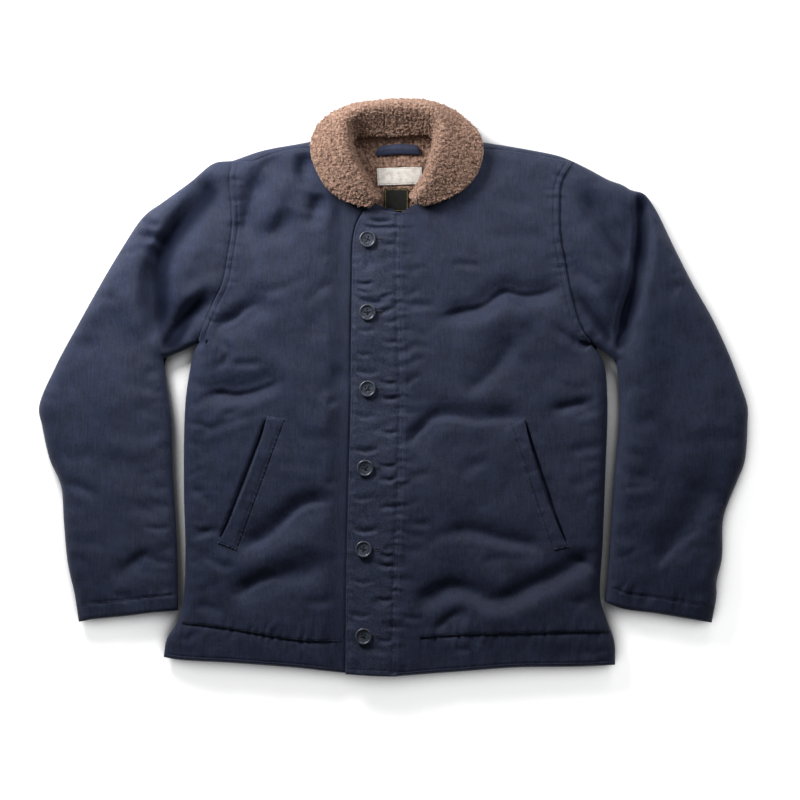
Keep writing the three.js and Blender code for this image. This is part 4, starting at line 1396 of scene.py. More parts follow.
@dataclass
class Mesh:
    """Points and faces that are gathered before they become an object."""

    points: list[Array] = field(default_factory=list)
    faces: list[Array] = field(default_factory=list)
    grains: list[Array] = field(default_factory=list)
    values: dict[str, list[Array]] = field(default_factory=dict)
    count: int = 0

    def add(self, points: Array, faces: Sequence[Array], grain: Array | None = None, **values: Array) -> None:
        """Adds some points, faces between them, their places on the flat cloth, and numbers they carry.

        Args:
            points: The points, in rows or as a list.
            faces: Arrays of faces, as numbers of points.
            grain: The places on the flat cloth.
            values: Numbers that the points carry, by name.
        """
        flat = points.reshape(-1, 3)
        self.points.append(flat)
        self.faces += [np.asarray(part) + self.count for part in faces if len(part)]
        self.grains.append(flat[:, :2] if grain is None else grain.reshape(-1, 2))
        for key, value in values.items():
            self.values.setdefault(key, []).append(np.broadcast_to(value, flat.shape[0]).ravel())
        self.count += len(flat)

    def make(self, name: str, material: bpy.types.Material) -> bpy.types.Object:
        """Turns what was gathered into an object with smooth faces.

        Args:
            name: The object's name.
            material: Its finish.

        Returns:
            The object.
        """
        points = np.concatenate(self.points) * MM
        mesh = bpy.data.meshes.new(name)
        polygons = [face for part in self.faces for face in part.tolist()]
        mesh.from_pydata(points.tolist(), [], polygons)
        corners = np.zeros(len(mesh.loops), np.int32)
        mesh.loops.foreach_get("vertex_index", corners)
        grain = (np.concatenate(self.grains) * MM)[corners]
        mesh.uv_layers.new(name="grain").data.foreach_set("uv", grain.astype(np.float32).ravel())
        for key, parts in self.values.items():
            layer = mesh.attributes.new(key, "FLOAT", "POINT")
            layer.data.foreach_set("value", np.concatenate(parts).astype(np.float32))
        mesh.shade_smooth()
        mesh.materials.append(material)
        mesh.validate()
        made = bpy.data.objects.new(name, mesh)
        bpy.context.scene.collection.objects.link(made)
        return made


def grid_faces(index: Array) -> Array:
    """The four-cornered faces of a grid of point numbers."""
    return np.stack([index[:-1, :-1], index[1:, :-1], index[1:, 1:], index[:-1, 1:]], axis=-1).reshape(-1, 4)


def rim_of(index: Array) -> Array:
    """The point numbers round the rim of a grid, in order."""
    return np.concatenate([index[0, :-1], index[:-1, -1], index[-1, :0:-1], index[:0:-1, 0]])


def picked(count: int, every: int) -> Array:
    """Every so many of a count, with the first and the last."""
    return np.unique(np.concatenate([np.arange(0, count, every), [count - 1]]))


def volume_of(points: Array, faces: Sequence[Array]) -> float:
    """The signed volume that the faces close.

    Args:
        points: The points, (count, 3).
        faces: The faces, as numbers of points.

    Returns:
        The volume, below 0 where the faces point inwards.
    """
    total = 0.0
    for part in faces:
        corners = points[part]
        for k in range(1, part.shape[1] - 1):
            cross = np.cross(corners[:, k], corners[:, k + 1])
            total += float((corners[:, 0] * cross).sum()) / 6.0
    return total


def closed_wall(outer: Array, inner: Array, every: int = 3) -> tuple[Array, list[Array]]:
    """Closes two matching grids into a wall, the inner one with fewer points.

    Args:
        outer: The outer points, (rows, columns, 3).
        inner: The inner points in the same order.
        every: How many outer steps one inner step takes.

    Returns:
        The points and the faces, turned to face out.
    """
    rows, columns = outer.shape[:2]
    kept_rows, kept_columns = picked(rows, every), picked(columns, every)
    inner = inner[kept_rows][:, kept_columns]
    points = np.concatenate([outer.reshape(-1, 3), inner.reshape(-1, 3)])
    outer_index = np.arange(rows * columns).reshape(rows, columns)
    inner_index = rows * columns + np.arange(inner.shape[0] * inner.shape[1]).reshape(inner.shape[:2])
    rim, inner_rim = rim_of(outer_index), rim_of(inner_index)
    twins = {int(outer_index[r, c]): int(inner_index[i, j])
             for i, r in enumerate(kept_rows) for j, c in enumerate(kept_columns)}
    place = {number: k for k, number in enumerate(rim.tolist())}
    inner_twin = {twin: number for number, twin in twins.items()}
    strip = []
    for k, number in enumerate(inner_rim.tolist()):
        following = int(inner_rim[(k + 1) % len(inner_rim)])
        start, end = place[inner_twin[number]], place[inner_twin[following]]
        steps = (end - start) % len(rim)
        strip += [(int(rim[(start + s) % len(rim)]), int(rim[(start + s + 1) % len(rim)]), number)
                  for s in range(steps)]
        strip.append((int(rim[end]), following, number))
    faces = [grid_faces(outer_index), grid_faces(inner_index)[:, ::-1], np.array(strip)]
    if volume_of(points, faces) < 0.0:
        faces = [part[:, ::-1] for part in faces]
    return points, faces


def dress(made: bpy.types.Object, slot: str, *nodes: str) -> bpy.types.Object:
    """Attaches an object to the body that it rides on and hides the solids that it stands for.

    Args:
        made: The object.
        slot: Not used.
        nodes: The solids that it stands for.

    Returns:
        The same object.
    """
    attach(made, BODY)
    if nodes:
        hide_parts(*nodes)
    LOG.info("%s: %d faces", made.name, len(made.data.polygons))
    return made


@dataclass
class Cut:
    """The cut of what shows of a piece: its flat width and length, and its area.

    Each is the piece's plan on the photograph with the cloth of its folded and turned edges.
    """

    width: float
    length: float
    area: float

    def declare(self, made: bpy.types.Object, rests_on: Sequence[str]) -> None:
        self.width * MM


def turn_in(outer: Array, inner: Array, rims: Sequence[Line], radius: float) -> tuple[Array, Array]:
    """Rounds the open rims of a wall, so that its outer cloth turns in to its lining.

    Args:
        outer: The outer points, (rows, columns, 3).
        inner: The inner points.
        rims: The lines of the open rims.
        radius: How far from the rim the turn starts.

    Returns:
        Both grids with their heights drawn together at the rims.
    """
    spots = outer[..., :2].reshape(-1, 2)
    far = np.full(len(spots), 1e9)
    for line in rims:
        far = np.minimum(far, line.evenly(3.0).beside(spots).far)
    turn = np.clip(1.0 - far / radius, 0.0, 1.0).reshape(outer.shape[:2])
    open_share = np.sqrt(1.0 - turn**2)
    middle = 0.5 * (outer[..., 2] + inner[..., 2])
    outer[..., 2] = middle + (outer[..., 2] - middle) * open_share
    inner[..., 2] = middle + (inner[..., 2] - middle) * open_share
    return outer, inner


@dataclass
class Panels:
    """The body and sleeve pieces, each a closed wall of cloth with its pile lining inside."""

    drape: Drape
    finishes: Finishes
    front_pitch: float = 2.0
    sleeve_pitch: float = 2.3
    placket_pitch: float = 1.6
    under_pitch: float = 5.0
    underarm_place: float = 0.36
    neck_place: float = 0.44
    close_steps: Sequence[float] = (0.25, 0.8, 1.7, 2.8, 4.0, 5.2, 6.2, 7.2, 8.4, 10.0, 12.0)
    hem_rim: float = 5.5
    placket_rim: float = 2.4
    # painted sheen and wear: a rub given to the whole placket, which lightens it towards the worn colour
    placket_sheen_and_wear: float = 2.8

    def _upper(
        self,
        grid: Array,
        edges: FoldedEdges,
        wall: float,
        rims: Sequence[Line],
        lowest: float = LAYER_CLEAR,
        press: Callable[[Array], Array] | None = None,
    ) -> tuple[Array, Array, Array]:
        """The two faces of an upper wall, and its rub with the painted fold shade.

        Args:
            grid: The places, (rows, columns, 2).
            edges: The folded edges.
            wall: How thick the wall is.
            rims: The lines of the open rims.
            lowest: The least height of the inner face.
            press: How far a place is pressed down, if it is.

        Returns:
            The outer face, the inner face, and the rub with the painted fold shade.
        """
        spots, turn, out = edges.roll(grid.reshape(-1, 2))
        up = np.sqrt(1.0 - turn**2)
        pressed = press(spots) if press else np.zeros(len(spots))
        base = SEAM_HEIGHT + FOLD_GAP / 2 + (self.drape.broad(spots) - pressed - SEAM_HEIGHT) * up
        calm = 1.0 - 0.85 * pressed / PLACKET_STEP
        height = base + self.drape.detail(spots) * up * calm
        outer = np.column_stack([spots, height])
        inner_spots = spots - wall * (turn[:, None] * out)
        inner = np.column_stack([inner_spots, np.maximum(base - wall * up, lowest)])
        inner[:, 2] = np.where(up > 0.5, np.minimum(inner[:, 2], height - 1.5), inner[:, 2])
        shape = (*grid.shape[:2], 3)
        outer, inner = outer.reshape(shape), inner.reshape(shape)
        if rims:
            radius = self.hem_rim if wall == WALL else self.placket_rim
            outer, inner = turn_in(outer, inner, rims, radius)
        return outer, inner, self.drape.wear_sheen_and_fold_shade(spots)

    def _under(self, grid: Array, edges: FoldedEdges, rims: Sequence[Line]) -> tuple[Array, Array, Array]:
        """The two faces of a wall that lies on the surface, and its rub with the painted fold shade.

        Args:
            grid: The places, (rows, columns, 2).
            edges: The folded edges.
            rims: The lines of the open rims.

        Returns:
            The outer face, the inner face, and the rub with the painted fold shade.
        """
        spots, turn, out = edges.roll(grid.reshape(-1, 2))
        up = np.sqrt(1.0 - turn**2)
        dents = np.clip(-0.5 * self.drape.detail(spots) - 0.3, 0.0, 2.5)
        height = (SEAM_HEIGHT - FOLD_GAP / 2) * (1.0 - up) + dents * up
        outer = np.column_stack([spots, height])
        inner_spots = spots - WALL * (turn[:, None] * out)
        inner = np.column_stack([inner_spots, (SEAM_HEIGHT - FOLD_GAP / 2) * (1.0 - up) + WALL * up])
        shape = (*grid.shape[:2], 3)
        outer, inner = turn_in(outer.reshape(shape), inner.reshape(shape), rims, self.hem_rim)
        return outer, inner, self.drape.wear_sheen_and_fold_shade(spots)

    def _finish(
        self, mesh: Mesh, faces: tuple[Array, Array, Array], grain_turn: float = 0.0, every: int = 3
    ) -> Mesh:
        """Adds a wall to a mesh with its grain, which may be turned by an angle.

        Args:
            mesh: The mesh that the wall goes into.
            faces: Its outer and inner face, and its rub, with the painted shade of its folds and, on the
                placket, painted sheen.
            grain_turn: The angle of the grain.
            every: How much coarser the inner face is.

        Returns:
            The same mesh.
        """
        outer, inner, wear_sheen_and_fold_shade = faces
        points, quads = closed_wall(outer, inner, every)
        cos, sin = math.cos(grain_turn), math.sin(grain_turn)
        grain = np.column_stack(
            [points[:, 0] * cos - points[:, 1] * sin, points[:, 0] * sin + points[:, 1] * cos]
        )
        # the rub, painted fold shade and, on the placket, painted sheen of the outer points; the other points
        # take none
        rubbed = np.concatenate([wear_sheen_and_fold_shade, np.zeros(len(points) - len(wear_sheen_and_fold_shade))])
        mesh.add(points, quads, grain, wear_sheen_and_fold_shade=rubbed)
        return mesh

    def _armhole(self, half: Half, into_body: float) -> Border:
        """The armhole's border, moved a little into the body or the sleeve."""
        return border(shifted(half.armhole, into_body * half.inward))

    def _side(self, half: Half) -> Border:
        """A body piece's border down its armhole and its flank."""
        return chained(self._armhole(half, SEAM_GAP / 2), border(half.flank), self.underarm_place)

    def _top(self, half: Half, drop: float) -> Border:
        """A front's border along its shoulder seam and its neckline."""
        return chained(
            border(shifted(half.shoulder_seam, 0, -drop)),
            border(shifted(half.neckline, 0, -drop)),
            self.neck_place,
        )

    def front(self, half: Half) -> bpy.types.Object:
        """A front, from its shoulder seam to its hem.

        Args:
            half: The half of the garment.

        Returns:
            The object.
        """
        side = half.side.value
        patch = Patch(
            self._top(half, SEAM_GAP / 2), border(half.hem), self._side(half), border(half.front_edge)
        )
        us = paces(285.0, self.front_pitch, self.close_steps, self.close_steps, self.neck_place)
        vs = paces(625.0, self.front_pitch, self.close_steps, self.close_steps, self.underarm_place)
        rims = [Line.through(half.hem)]
        press = under_placket if half is RIGHT else None
        edges = FoldedEdges.of(half, sleeve=False)
        faces = self._upper(patch.grid(us, vs), edges, WALL, rims, press=press)
        made = self._finish(Mesh(), faces).make(f"front_{side}_cloth", self.finishes.navy)
        dress(made, "navy_cloth", f"front_{side}")
        cut = Cut(309.0, 681.0, 168_300.0) if half is RIGHT else Cut(293.0, 681.0, 165_600.0)
        cut.declare(made, ["back"])
        return made

    def placket(self) -> bpy.types.Object:
        """The placket over the right front.

        Returns:
            The object.
        """
        patch = Patch(border(PLACKET_TOP), border(PLACKET_HEM), border(PLACKET_EDGE), border(PLACKET_SEAM))
        us = paces(63.0, self.placket_pitch, (0.2, 0.6, 1.2, 2.0, 2.9), (0.25, 0.8, 1.6, 2.6))
        vs = paces(593.0, self.placket_pitch, (0.3, 0.9, 1.8, 3.0), (0.3, 0.9, 1.8, 3.0))
        rims = [Line.through(PLACKET_EDGE), Line.through(PLACKET_TOP), Line.through(PLACKET_HEM)]
        edges = FoldedEdges.of(RIGHT, sleeve=False)
        outer, inner, wear_sheen_and_fold_shade = self._upper(patch.grid(us, vs), edges, PLACKET_WALL, rims, 0.0)
        # the whole placket is lightened, with painted sheen and wear
        faces = outer, inner, wear_sheen_and_fold_shade + self.placket_sheen_and_wear
        made = self._finish(Mesh(), faces).make("placket_cloth", self.finishes.navy)
        dress(made, "navy_cloth", "placket")
        Cut(67.0, 600.0, 40_100.0).declare(made, ["front_right"])
        return made

    def back(self) -> bpy.types.Object:
        """The back on the surface, with the strips that come over the shoulders.

        Returns:
            The object.
        """
        top = chained(
            border(RIGHT.shoulder[::-1]), chained(border(BACK_NECK), border(LEFT.shoulder), 0.46), 0.31
        )
        patch = Patch(top, border(BACK_HEM), self._side(RIGHT), self._side(LEFT))
        close = (0.3, 1.0, 2.2, 4.0, 6.5, 10.0, 14.0)
        us = paces(560.0, self.under_pitch, close, close, 0.31)
        vs = paces(660.0, self.under_pitch, close, close, self.underarm_place)
        edges = FoldedEdges.of(RIGHT, sleeve=False).joined(FoldedEdges.of(LEFT, sleeve=False))
        rims = [Line.through(BACK_HEM), Line.through(BACK_NECK)]
        mesh = self._finish(Mesh(), self._under(patch.grid(us, vs), edges, rims), every=2)
        for half in HALVES:
            self._finish(mesh, self._shoulder_strip(half), every=2)
        made = mesh.make("back_cloth", self.finishes.navy)
        dress(made, "navy_cloth", "back")
        Cut(604.0, 726.0, 359_900.0).declare(made, [])
        return made

    def _shoulder_strip(self, half: Half) -> tuple[Array, Array, Array]:
        """The strip of the back that comes over the folded shoulder to its seam on the front.

        Args:
            half: The half of the garment.

        Returns:
            The outer face, the inner face, and the rub with the painted fold shade.
        """
        count = 70
        edge = border(half.shoulder[::-1])(np.linspace(0.0, 1.0, count))
        seam = self._top(half, -SEAM_GAP / 2)(np.linspace(0.0, self.neck_place, count))
        shares = np.array([0.0, 0.005, 0.02, 0.05, 0.1, 0.17, 0.26, 0.37, 0.5, 0.62, 0.74, 0.84, 0.92, 1.0])
        grid = edge[:, None] * (1.0 - shares)[None, :, None] + seam[:, None] * shares[None, :, None]
        edges = FoldedEdges.of(half, sleeve=False)
        outer, inner, wear_sheen_and_fold_shade = self._upper(grid, edges, WALL, [], lowest=SEAM_HEIGHT)
        outer[:, 0, 2] = SEAM_HEIGHT - 0.4
        return outer, inner, wear_sheen_and_fold_shade

    def sleeve(self, half: Half, layer: Layer) -> bpy.types.Object:
        """The upper or the under piece of a sleeve, from the armhole to the cuff.

        Args:
            half: The half of the garment.
            layer: The upper or the under piece.

        Returns:
            The object.
        """
        side = half.side.value
        patch = Patch(
            self._armhole(half, -SEAM_GAP / 2),
            border(half.cuff),
            border(half.sleeve_outer),
            chained(border(half.underarm), border(half.sleeve_inner), 0.12),
        )
        pitch = self.sleeve_pitch if layer is Layer.UPPER else self.under_pitch
        edge_steps = (0.25, 0.9, 2.0, 3.6, 5.6, 8.0)
        us = paces(165.0, pitch, edge_steps, edge_steps)
        vs = paces(590.0, pitch, self.close_steps if layer is Layer.UPPER else edge_steps, edge_steps, 0.12)
        edges = FoldedEdges.of(half, sleeve=True)
        rims = [Line.through(half.cuff)]
        grid = patch.grid(us, vs)
        lean = math.radians(24.0) * half.inward
        if layer is Layer.UPPER:
            faces = self._upper(grid, edges, WALL, rims)
            mesh = self._finish(Mesh(), faces, lean)
        else:
            mesh = self._finish(Mesh(), self._under(grid, edges, rims), lean, every=2)
        name = f"sleeve_{side}_{layer.value}"
        made = mesh.make(f"{name}_cloth", self.finishes.navy)
        dress(made, "navy_cloth", name)
        resting = [f"sleeve_{side}_under"] if layer is Layer.UPPER else []
        cut = Cut(238.0, 620.0, 93_700.0) if half is RIGHT else Cut(237.0, 615.0, 97_400.0)
        cut.declare(made, resting)
        return made

    def build(self) -> list[bpy.types.Object]:
        """Builds every piece.

        Returns:
            The objects.
        """
        made = [self.back(), *(self.front(half) for half in HALVES), self.placket()]
        made += [self.sleeve(half, layer) for half in HALVES for layer in Layer]
        return made


def under_placket(spots: Array) -> Array:
    """How far the right front is pressed down beside and under the placket.

    Args:
        spots: The places, (count, 2).

    Returns:
        One value or point for each place.
    """
    edge = -54.0 - 7.0 * smooth(spots[:, 1], 50.0, -368.0)
    crevice = np.zeros(len(spots))
    line = Line.through(PLACKET_EDGE)
    near = line.near(spots, 8.0)
    found = line.evenly(6.0).beside(spots[near])
    crevice[near] = 2.4 * np.exp(-(((found.far * found.side + 0.2) / 1.2) ** 2))
    return PLACKET_STEP * smooth(spots[:, 0] - edge, -34.0, -9.0) + crevice


class Ground:
    """What already lies there, so that the next piece can be laid on it."""

    def __init__(self, objects: Sequence[bpy.types.Object]) -> None:
        """Makes a search tree of each object."""
        graph = bpy.context.evaluated_depsgraph_get()
        self.trees = [BVHTree.FromObject(made, graph) for made in objects]

    def height(self, x: float, y: float) -> float:
        """The height of the highest cloth at a place, or -1 beside it, in millimetres.

        Args:
            x: The place across.
            y: The place along.

        Returns:
            The height.
        """
        start = Vector((x * MM, y * MM, 0.2))
        down = Vector((0.0, 0.0, -1.0))
        hits = [tree.ray_cast(start, down)[0] for tree in self.trees]
        return max((hit.z / MM for hit in hits if hit is not None), default=-1.0)

    def heights(self, spots: Array) -> Array:
        """The heights at many places, (count, 2)."""
        return np.array([self.height(x, y) for x, y in spots])


@dataclass
class Collar:
    """The shawl-like pile collar on its navy undercollar.

    Each station gives the outer edge (ox, oy) and the height that it lies at, the crest and the
    neck seam, from the right front end round the back to the left front end.
    """

    ground: Ground
    finishes: Finishes
    wall: float = 10.0
    undercollar_wall: float = 1.8
    rest_gap: float = 0.4
    stations: int = 400
    curls: int = 6800
    stations_table: Rows = (
        (-29, 228, 26, -20, 237, 38, -16, 241, 23),
        (-53, 233, 26, -32, 246, 46, -25, 252, 21),
        (-79, 247, 26, -43, 265, 52, -35, 269, 21),
        (-97, 272, 26, -54, 284, 55, -45, 286, 21),
        (-106, 301, 25, -61, 306, 57, -52, 303, 21),
        (-102, 325, 17, -63, 327, 56, -53, 315, 21),
        (-85, 345, 8, -58, 342, 54, -45, 321, 21),
        (-58, 359, 1, -42, 350, 52, -29, 320, 21),
        (-26, 365, 0, -20, 354, 50, -11, 319, 21),
        (12, 367, 0, 10, 356, 50, 7, 320, 21),
        (46, 365, 1, 37, 354, 51, 26, 322, 21),
        (74, 355, 8, 55, 345, 53, 43, 323, 21),
        (96, 339, 16, 62, 330, 55, 52, 317, 21),
        (111, 322, 24, 61, 313, 56, 52, 306, 21),
        (115, 299, 26, 56, 296, 56, 48, 292, 21),
        (108, 273, 26, 50, 276, 54, 44, 277, 21),
        (90, 251, 26, 41, 257, 51, 35, 261, 21),
        (66, 238, 28, 32, 243, 47, 27, 249, 22),
        (40, 229, 29, 26, 236, 41, 21, 241, 24),
    )

    def _middle(self, places: Array, across: Array) -> Array:
        """The middle of the collar's cloth, (places, across, 3).

        Args:
            places: Shares along the collar.
            across: Shares across it, from its outer edge.

        Returns:
            The points.
        """
        table = np.array(self.stations_table, float)
        outer, crest, seam = (spline(table[:, k : k + 3], places) for k in (0, 3, 6))
        low = outer[:, 2] + self.wall / 2 + self.undercollar_wall + 1.0
        top = crest[:, 2] - self.wall / 2

        def knot(first: Array, second: Array, share: float, height: Array) -> Array:
            """A knot between two lines at its own height."""
            point = first + (second - first) * share
            return np.column_stack([point[:, :2], height])

        knots = np.stack(
            [
                knot(outer, crest, 0.0, low),
                knot(outer, crest, 0.4, low + 0.42 * (top - low)),
                knot(outer, crest, 0.78, low + 0.86 * (top - low)),
                knot(crest, seam, 0.0, top),
                knot(crest, seam, 0.5, seam[:, 2] + 0.5 * (top - seam[:, 2])),
                seam,
            ],
            axis=1,
        )
        return spline(knots, across)

    def _faces(self, middle: Array) -> Array:
        """The unit direction out of the collar at each point of a grid.

        Args:
            middle: The middle of the cloth.

        Returns:
            The directions.
        """
        along = np.gradient(middle, axis=0)
        across = np.gradient(middle, axis=1)
        normal = np.cross(across, along)
        return normal / np.maximum(np.linalg.norm(normal, axis=-1, keepdims=True), 1e-9)

    def _lift(self, grid: Array, gap: float) -> Array:
        """The grid, raised where it would lie nearer than a gap to what is under it.

        Args:
            grid: The points, (rows, columns, 3).
            gap: The least gap.

        Returns:
            The same grid.
        """
        shape = grid.shape
        coarse = grid[::4, ::4].reshape(-1, 3)
        ground = self.ground.heights(coarse[:, :2]).reshape(grid[::4, ::4].shape[:2])
        rows = np.linspace(0, ground.shape[0] - 1, shape[0])
        columns = np.linspace(0, ground.shape[1] - 1, shape[1])
        filled = np.array([np.interp(columns, np.arange(ground.shape[1]), line) for line in ground])
        full = np.array([np.interp(rows, np.arange(len(filled)), filled[:, k]) for k in range(shape[1])]).T
        least = np.where(full > 0.0, full + gap, grid[..., 2])
        grid[..., 2] = np.maximum(grid[..., 2], least)
        return grid

    def pile(self) -> tuple[bpy.types.Object, Array, Array]:
        """The pile collar, lumpy on its face, and its face's points and directions.

        Returns:
            The object, the points and the directions.
        """
        places = np.linspace(0.0, 1.0, self.stations)
        across = np.linspace(0.0, 1.0, 96)
        middle = self._middle(places, across)
        normal = self._faces(middle)
        half = self.wall / 2
        clear = self.undercollar_wall + 1.2
        outer = self._lift(middle + normal * (half - 2.4), clear + 2 * half - 2.4)
        inner = self._lift(middle - normal * half, clear)
        rim = smooth(across, 0.0, 0.06)[None, :, None] * smooth(across, 1.0, 0.96)[None, :, None]
        ends = smooth(places, 0.0, 0.012) * smooth(places, 1.0, 0.988)
        rim = np.sqrt(rim * ends[:, None, None])
        centre = 0.5 * (outer + inner)
        outer, inner = centre + (outer - centre) * rim, centre + (inner - centre) * rim
        coarse, fine = lumps(outer, 3.9, 3), lumps(outer, 2.2, 5)
        # painted light and shade: the lumps' tops light and their gaps dark
        depth = 0.6 * coarse + 0.4 * fine
        outer = outer + normal * (1.5 * coarse + 0.7 * fine)[..., None]
        points, faces = closed_wall(outer, inner, 4)
        mesh = Mesh()
        values = np.concatenate([depth.ravel(), np.full(len(points) - depth.size, 0.45)])
        mesh.add(points, faces, depth=values)
        made = mesh.make("collar_pile", self.finishes.pile)
        dress(made, "pile", "collar")
        Cut(112.0, 521.0, 34_300.0).declare(made, ["undercollar"])
        return made, outer, normal

    def undercollar(self) -> bpy.types.Object:
        """The navy undercollar, which shows only from the side.

        Returns:
            The object.
        """
        places = np.linspace(0.0, 1.0, 150)
        across = np.linspace(0.0, 0.6, 30)
        middle = self._middle(places, across)
        normal = self._faces(middle)
        below = self.wall / 2 + self.rest_gap
        outer = self._lift(middle - normal * below, self.rest_gap + self.undercollar_wall)
        inner = self._lift(middle - normal * (below + self.undercollar_wall), self.rest_gap)
        points, faces = closed_wall(outer, inner, 1)
        mesh = Mesh()
        mesh.add(points, faces, wear_sheen_and_fold_shade=np.zeros(len(points)))
        made = mesh.make("undercollar_cloth", self.finishes.navy)
        dress(made, "navy_cloth", "undercollar")
        Cut(66.0, 521.0, 22_500.0).declare(made, ["front_right", "front_left", "back"])
        return made

    def build(self) -> None:
        """Builds the collar, its curls and the undercollar."""
        _, face, normal = self.pile()
        self.undercollar()
        area = np.linalg.norm(np.cross(np.gradient(face, axis=0), np.gradient(face, axis=1)), axis=-1)
        roots, up, shares = (part[2:-2, 2:-2] for part in (face, normal, area))
        curls = CurlField(roots.reshape(-1, 3), up.reshape(-1, 3), shares.ravel(), self.curls, 7)
        dress(curls.build("collar_curls", self.finishes.pile), "pile")


@dataclass
class CurlField:
    """Small hooked curls that stand at roots on a pile, more of them where the shares are larger."""

    roots: Array
    normals: Array
    shares: Array
    count: int
    seed: int
    height: tuple[float, float] = (0.8, 1.6)
    thickness: tuple[float, float] = (0.32, 0.52)
    rings: int = 5

    def build(self, name: str, material: bpy.types.Material) -> bpy.types.Object:
        """Builds every curl as one mesh.

        Args:
            name: The object's name.
            material: Its finish.

        Returns:
            The object.
        """
        rng = np.random.default_rng(self.seed)
        picks = rng.choice(len(self.roots), self.count, p=self.shares / self.shares.sum())
        root = self.roots[picks] + rng.uniform(-0.6, 0.6, (self.count, 3))
        up = self.normals[picks]
        heading = np.cross(up, rng.normal(size=(self.count, 3)))
        heading /= np.linalg.norm(heading, axis=1, keepdims=True)
        aside = np.cross(up, heading)
        size = rng.uniform(*self.height, self.count)
        reach = rng.uniform(math.radians(150), math.radians(255), self.count)
        twist = rng.uniform(-0.5, 0.5, self.count)
        thick = rng.uniform(*self.thickness, self.count)
        mesh = Mesh()
        rings = []
        shares = np.linspace(0.0, 1.0, self.rings)
        for share in shares:
            angle = reach * share
            centre = (
                root
                + up * (size * np.sin(angle) * 1.15 - 0.3)[:, None]
                + heading * (size * (1.0 - np.cos(angle)) * 0.8)[:, None]
                + aside * (size * twist * share)[:, None]
            )
            out = heading * np.sin(angle - 1.57)[:, None] + up * np.cos(angle - 1.57)[:, None]
            radius = thick * (1.0 - 0.55 * share**2)
            corners = [
                centre + (out * math.cos(turn) + aside * math.sin(turn)) * radius[:, None]
                for turn in (0.0, math.tau / 3, 2 * math.tau / 3)
            ]
            rings.append(np.stack(corners, axis=1))
        points = np.stack(rings, axis=1)
        per = self.rings * 3
        template = []
        for ring in range(self.rings - 1):
            for k in range(3):
                a, b = ring * 3 + k, ring * 3 + (k + 1) % 3
                template.append((a, b, b + 3, a + 3))
        quads = (np.array(template)[None] + (np.arange(self.count) * per)[:, None, None]).reshape(-1, 4)
        tips = np.array([(2, 1, 0), (per - 3, per - 2, per - 1)])
        caps = (tips[None] + (np.arange(self.count) * per)[:, None, None]).reshape(-1, 3)
        # painted light and shade: each curl lighter up its arc than at its root, with a random tone of its
        # own
        rise = np.sin(np.minimum(reach[:, None] * shares[None], math.pi))
        tone = rng.uniform(-0.14, 0.14, self.count)[:, None]
        depth = np.repeat(np.clip(0.42 + 0.62 * rise + tone, 0.0, 1.1)[:, :, None], 3, axis=2)
        mesh.add(points.reshape(-1, 3), [quads, caps], depth=depth.ravel())
        return mesh.make(name, material)


@dataclass
class Sewing:
    """Rows of stitches and bars, gathered into one mesh."""

    ground: Ground
    pitch: float = 3.1
    stitch: float = 2.25
    radius: float = 0.36
    mesh: Mesh = field(default_factory=Mesh)

    def capsules(self, starts: Array, ends: Array, radius: float) -> None:
        """Adds a short thread from each start to its end.

        Args:
            starts: The starts, (count, 3).
            ends: The ends, (count, 3).
            radius: The thread's radius.
        """
        step = ends - starts
        length = np.maximum(np.linalg.norm(step, axis=1, keepdims=True), 1e-6)
        heading = step / length
        aside = np.cross(heading, (0.0, 0.0, 1.0))
        aside /= np.maximum(np.linalg.norm(aside, axis=1, keepdims=True), 1e-6)
        up = np.cross(aside, heading)
        rings = []
        for share, width in ((0.0, 0.3), (0.2, 1.0), (0.8, 1.0), (1.0, 0.3)):
            centre = starts + step * share
            for turn in (0.0, 0.25, 0.5, 0.75):
                angle = math.tau * turn
                rings.append(centre + (aside * math.cos(angle) + up * math.sin(angle)) * radius * width)
        points = np.stack(rings, axis=1)
        quads = [
            (4 * r + k, 4 * r + (k + 1) % 4, 4 * r + 4 + (k + 1) % 4, 4 * r + 4 + k)
            for r in range(3)
            for k in range(4)
        ]
        quads += [(3, 2, 1, 0), (12, 13, 14, 15)]
        faces = (np.array(quads)[None] + (np.arange(len(starts)) * 16)[:, None, None]).reshape(-1, 4)
        self.mesh.add(points.reshape(-1, 3), [faces])

    def row(self, line: Line, lift: float = 0.1) -> None:
        """Sews a row along a line, each stitch lying on the cloth.

        Args:
            line: Where the row runs.
            lift: How far it stands off the cloth.
        """
        count = max(int(line.length / self.pitch), 1)
        begin = np.arange(count) * self.pitch
        first = line.at(begin / line.length)
        last = line.at((begin + self.stitch) / line.length)
        starts = np.column_stack([first, self.ground.heights(first) + lift])
        ends = np.column_stack([last, self.ground.heights(last) + lift])
        fine = (starts[:, 2] > 5.0) & (ends[:, 2] > 5.0)
        self.capsules(starts[fine], ends[fine], self.radius)

    def bar(self, start: Sequence[float], end: Sequence[float], width: float = 1.8) -> None:
        """Sews a close bar of short stitches across a line.

        Args:
            start: One end of the bar.
            end: Its other end.
            width: How wide it is.
        """
        line = Line.through((start, end))
        count = max(int(line.length / 0.75), 2)
        centre = line.at(np.linspace(0.0, 1.0, count))
        heading = np.array(end, float) - np.array(start, float)
        heading /= np.linalg.norm(heading)
        aside = np.array([-heading[1], heading[0]]) * width / 2
        height = self.ground.heights(centre)
        starts = np.column_stack([centre - aside, height + 0.15])
        ends = np.column_stack([centre + aside, height + 0.15])
        self.capsules(starts, ends, 0.42)

    def build(self, name: str, material: bpy.types.Material) -> bpy.types.Object:
        """Makes the object."""
        return dress(self.mesh.make(name, material), "navy_cloth")


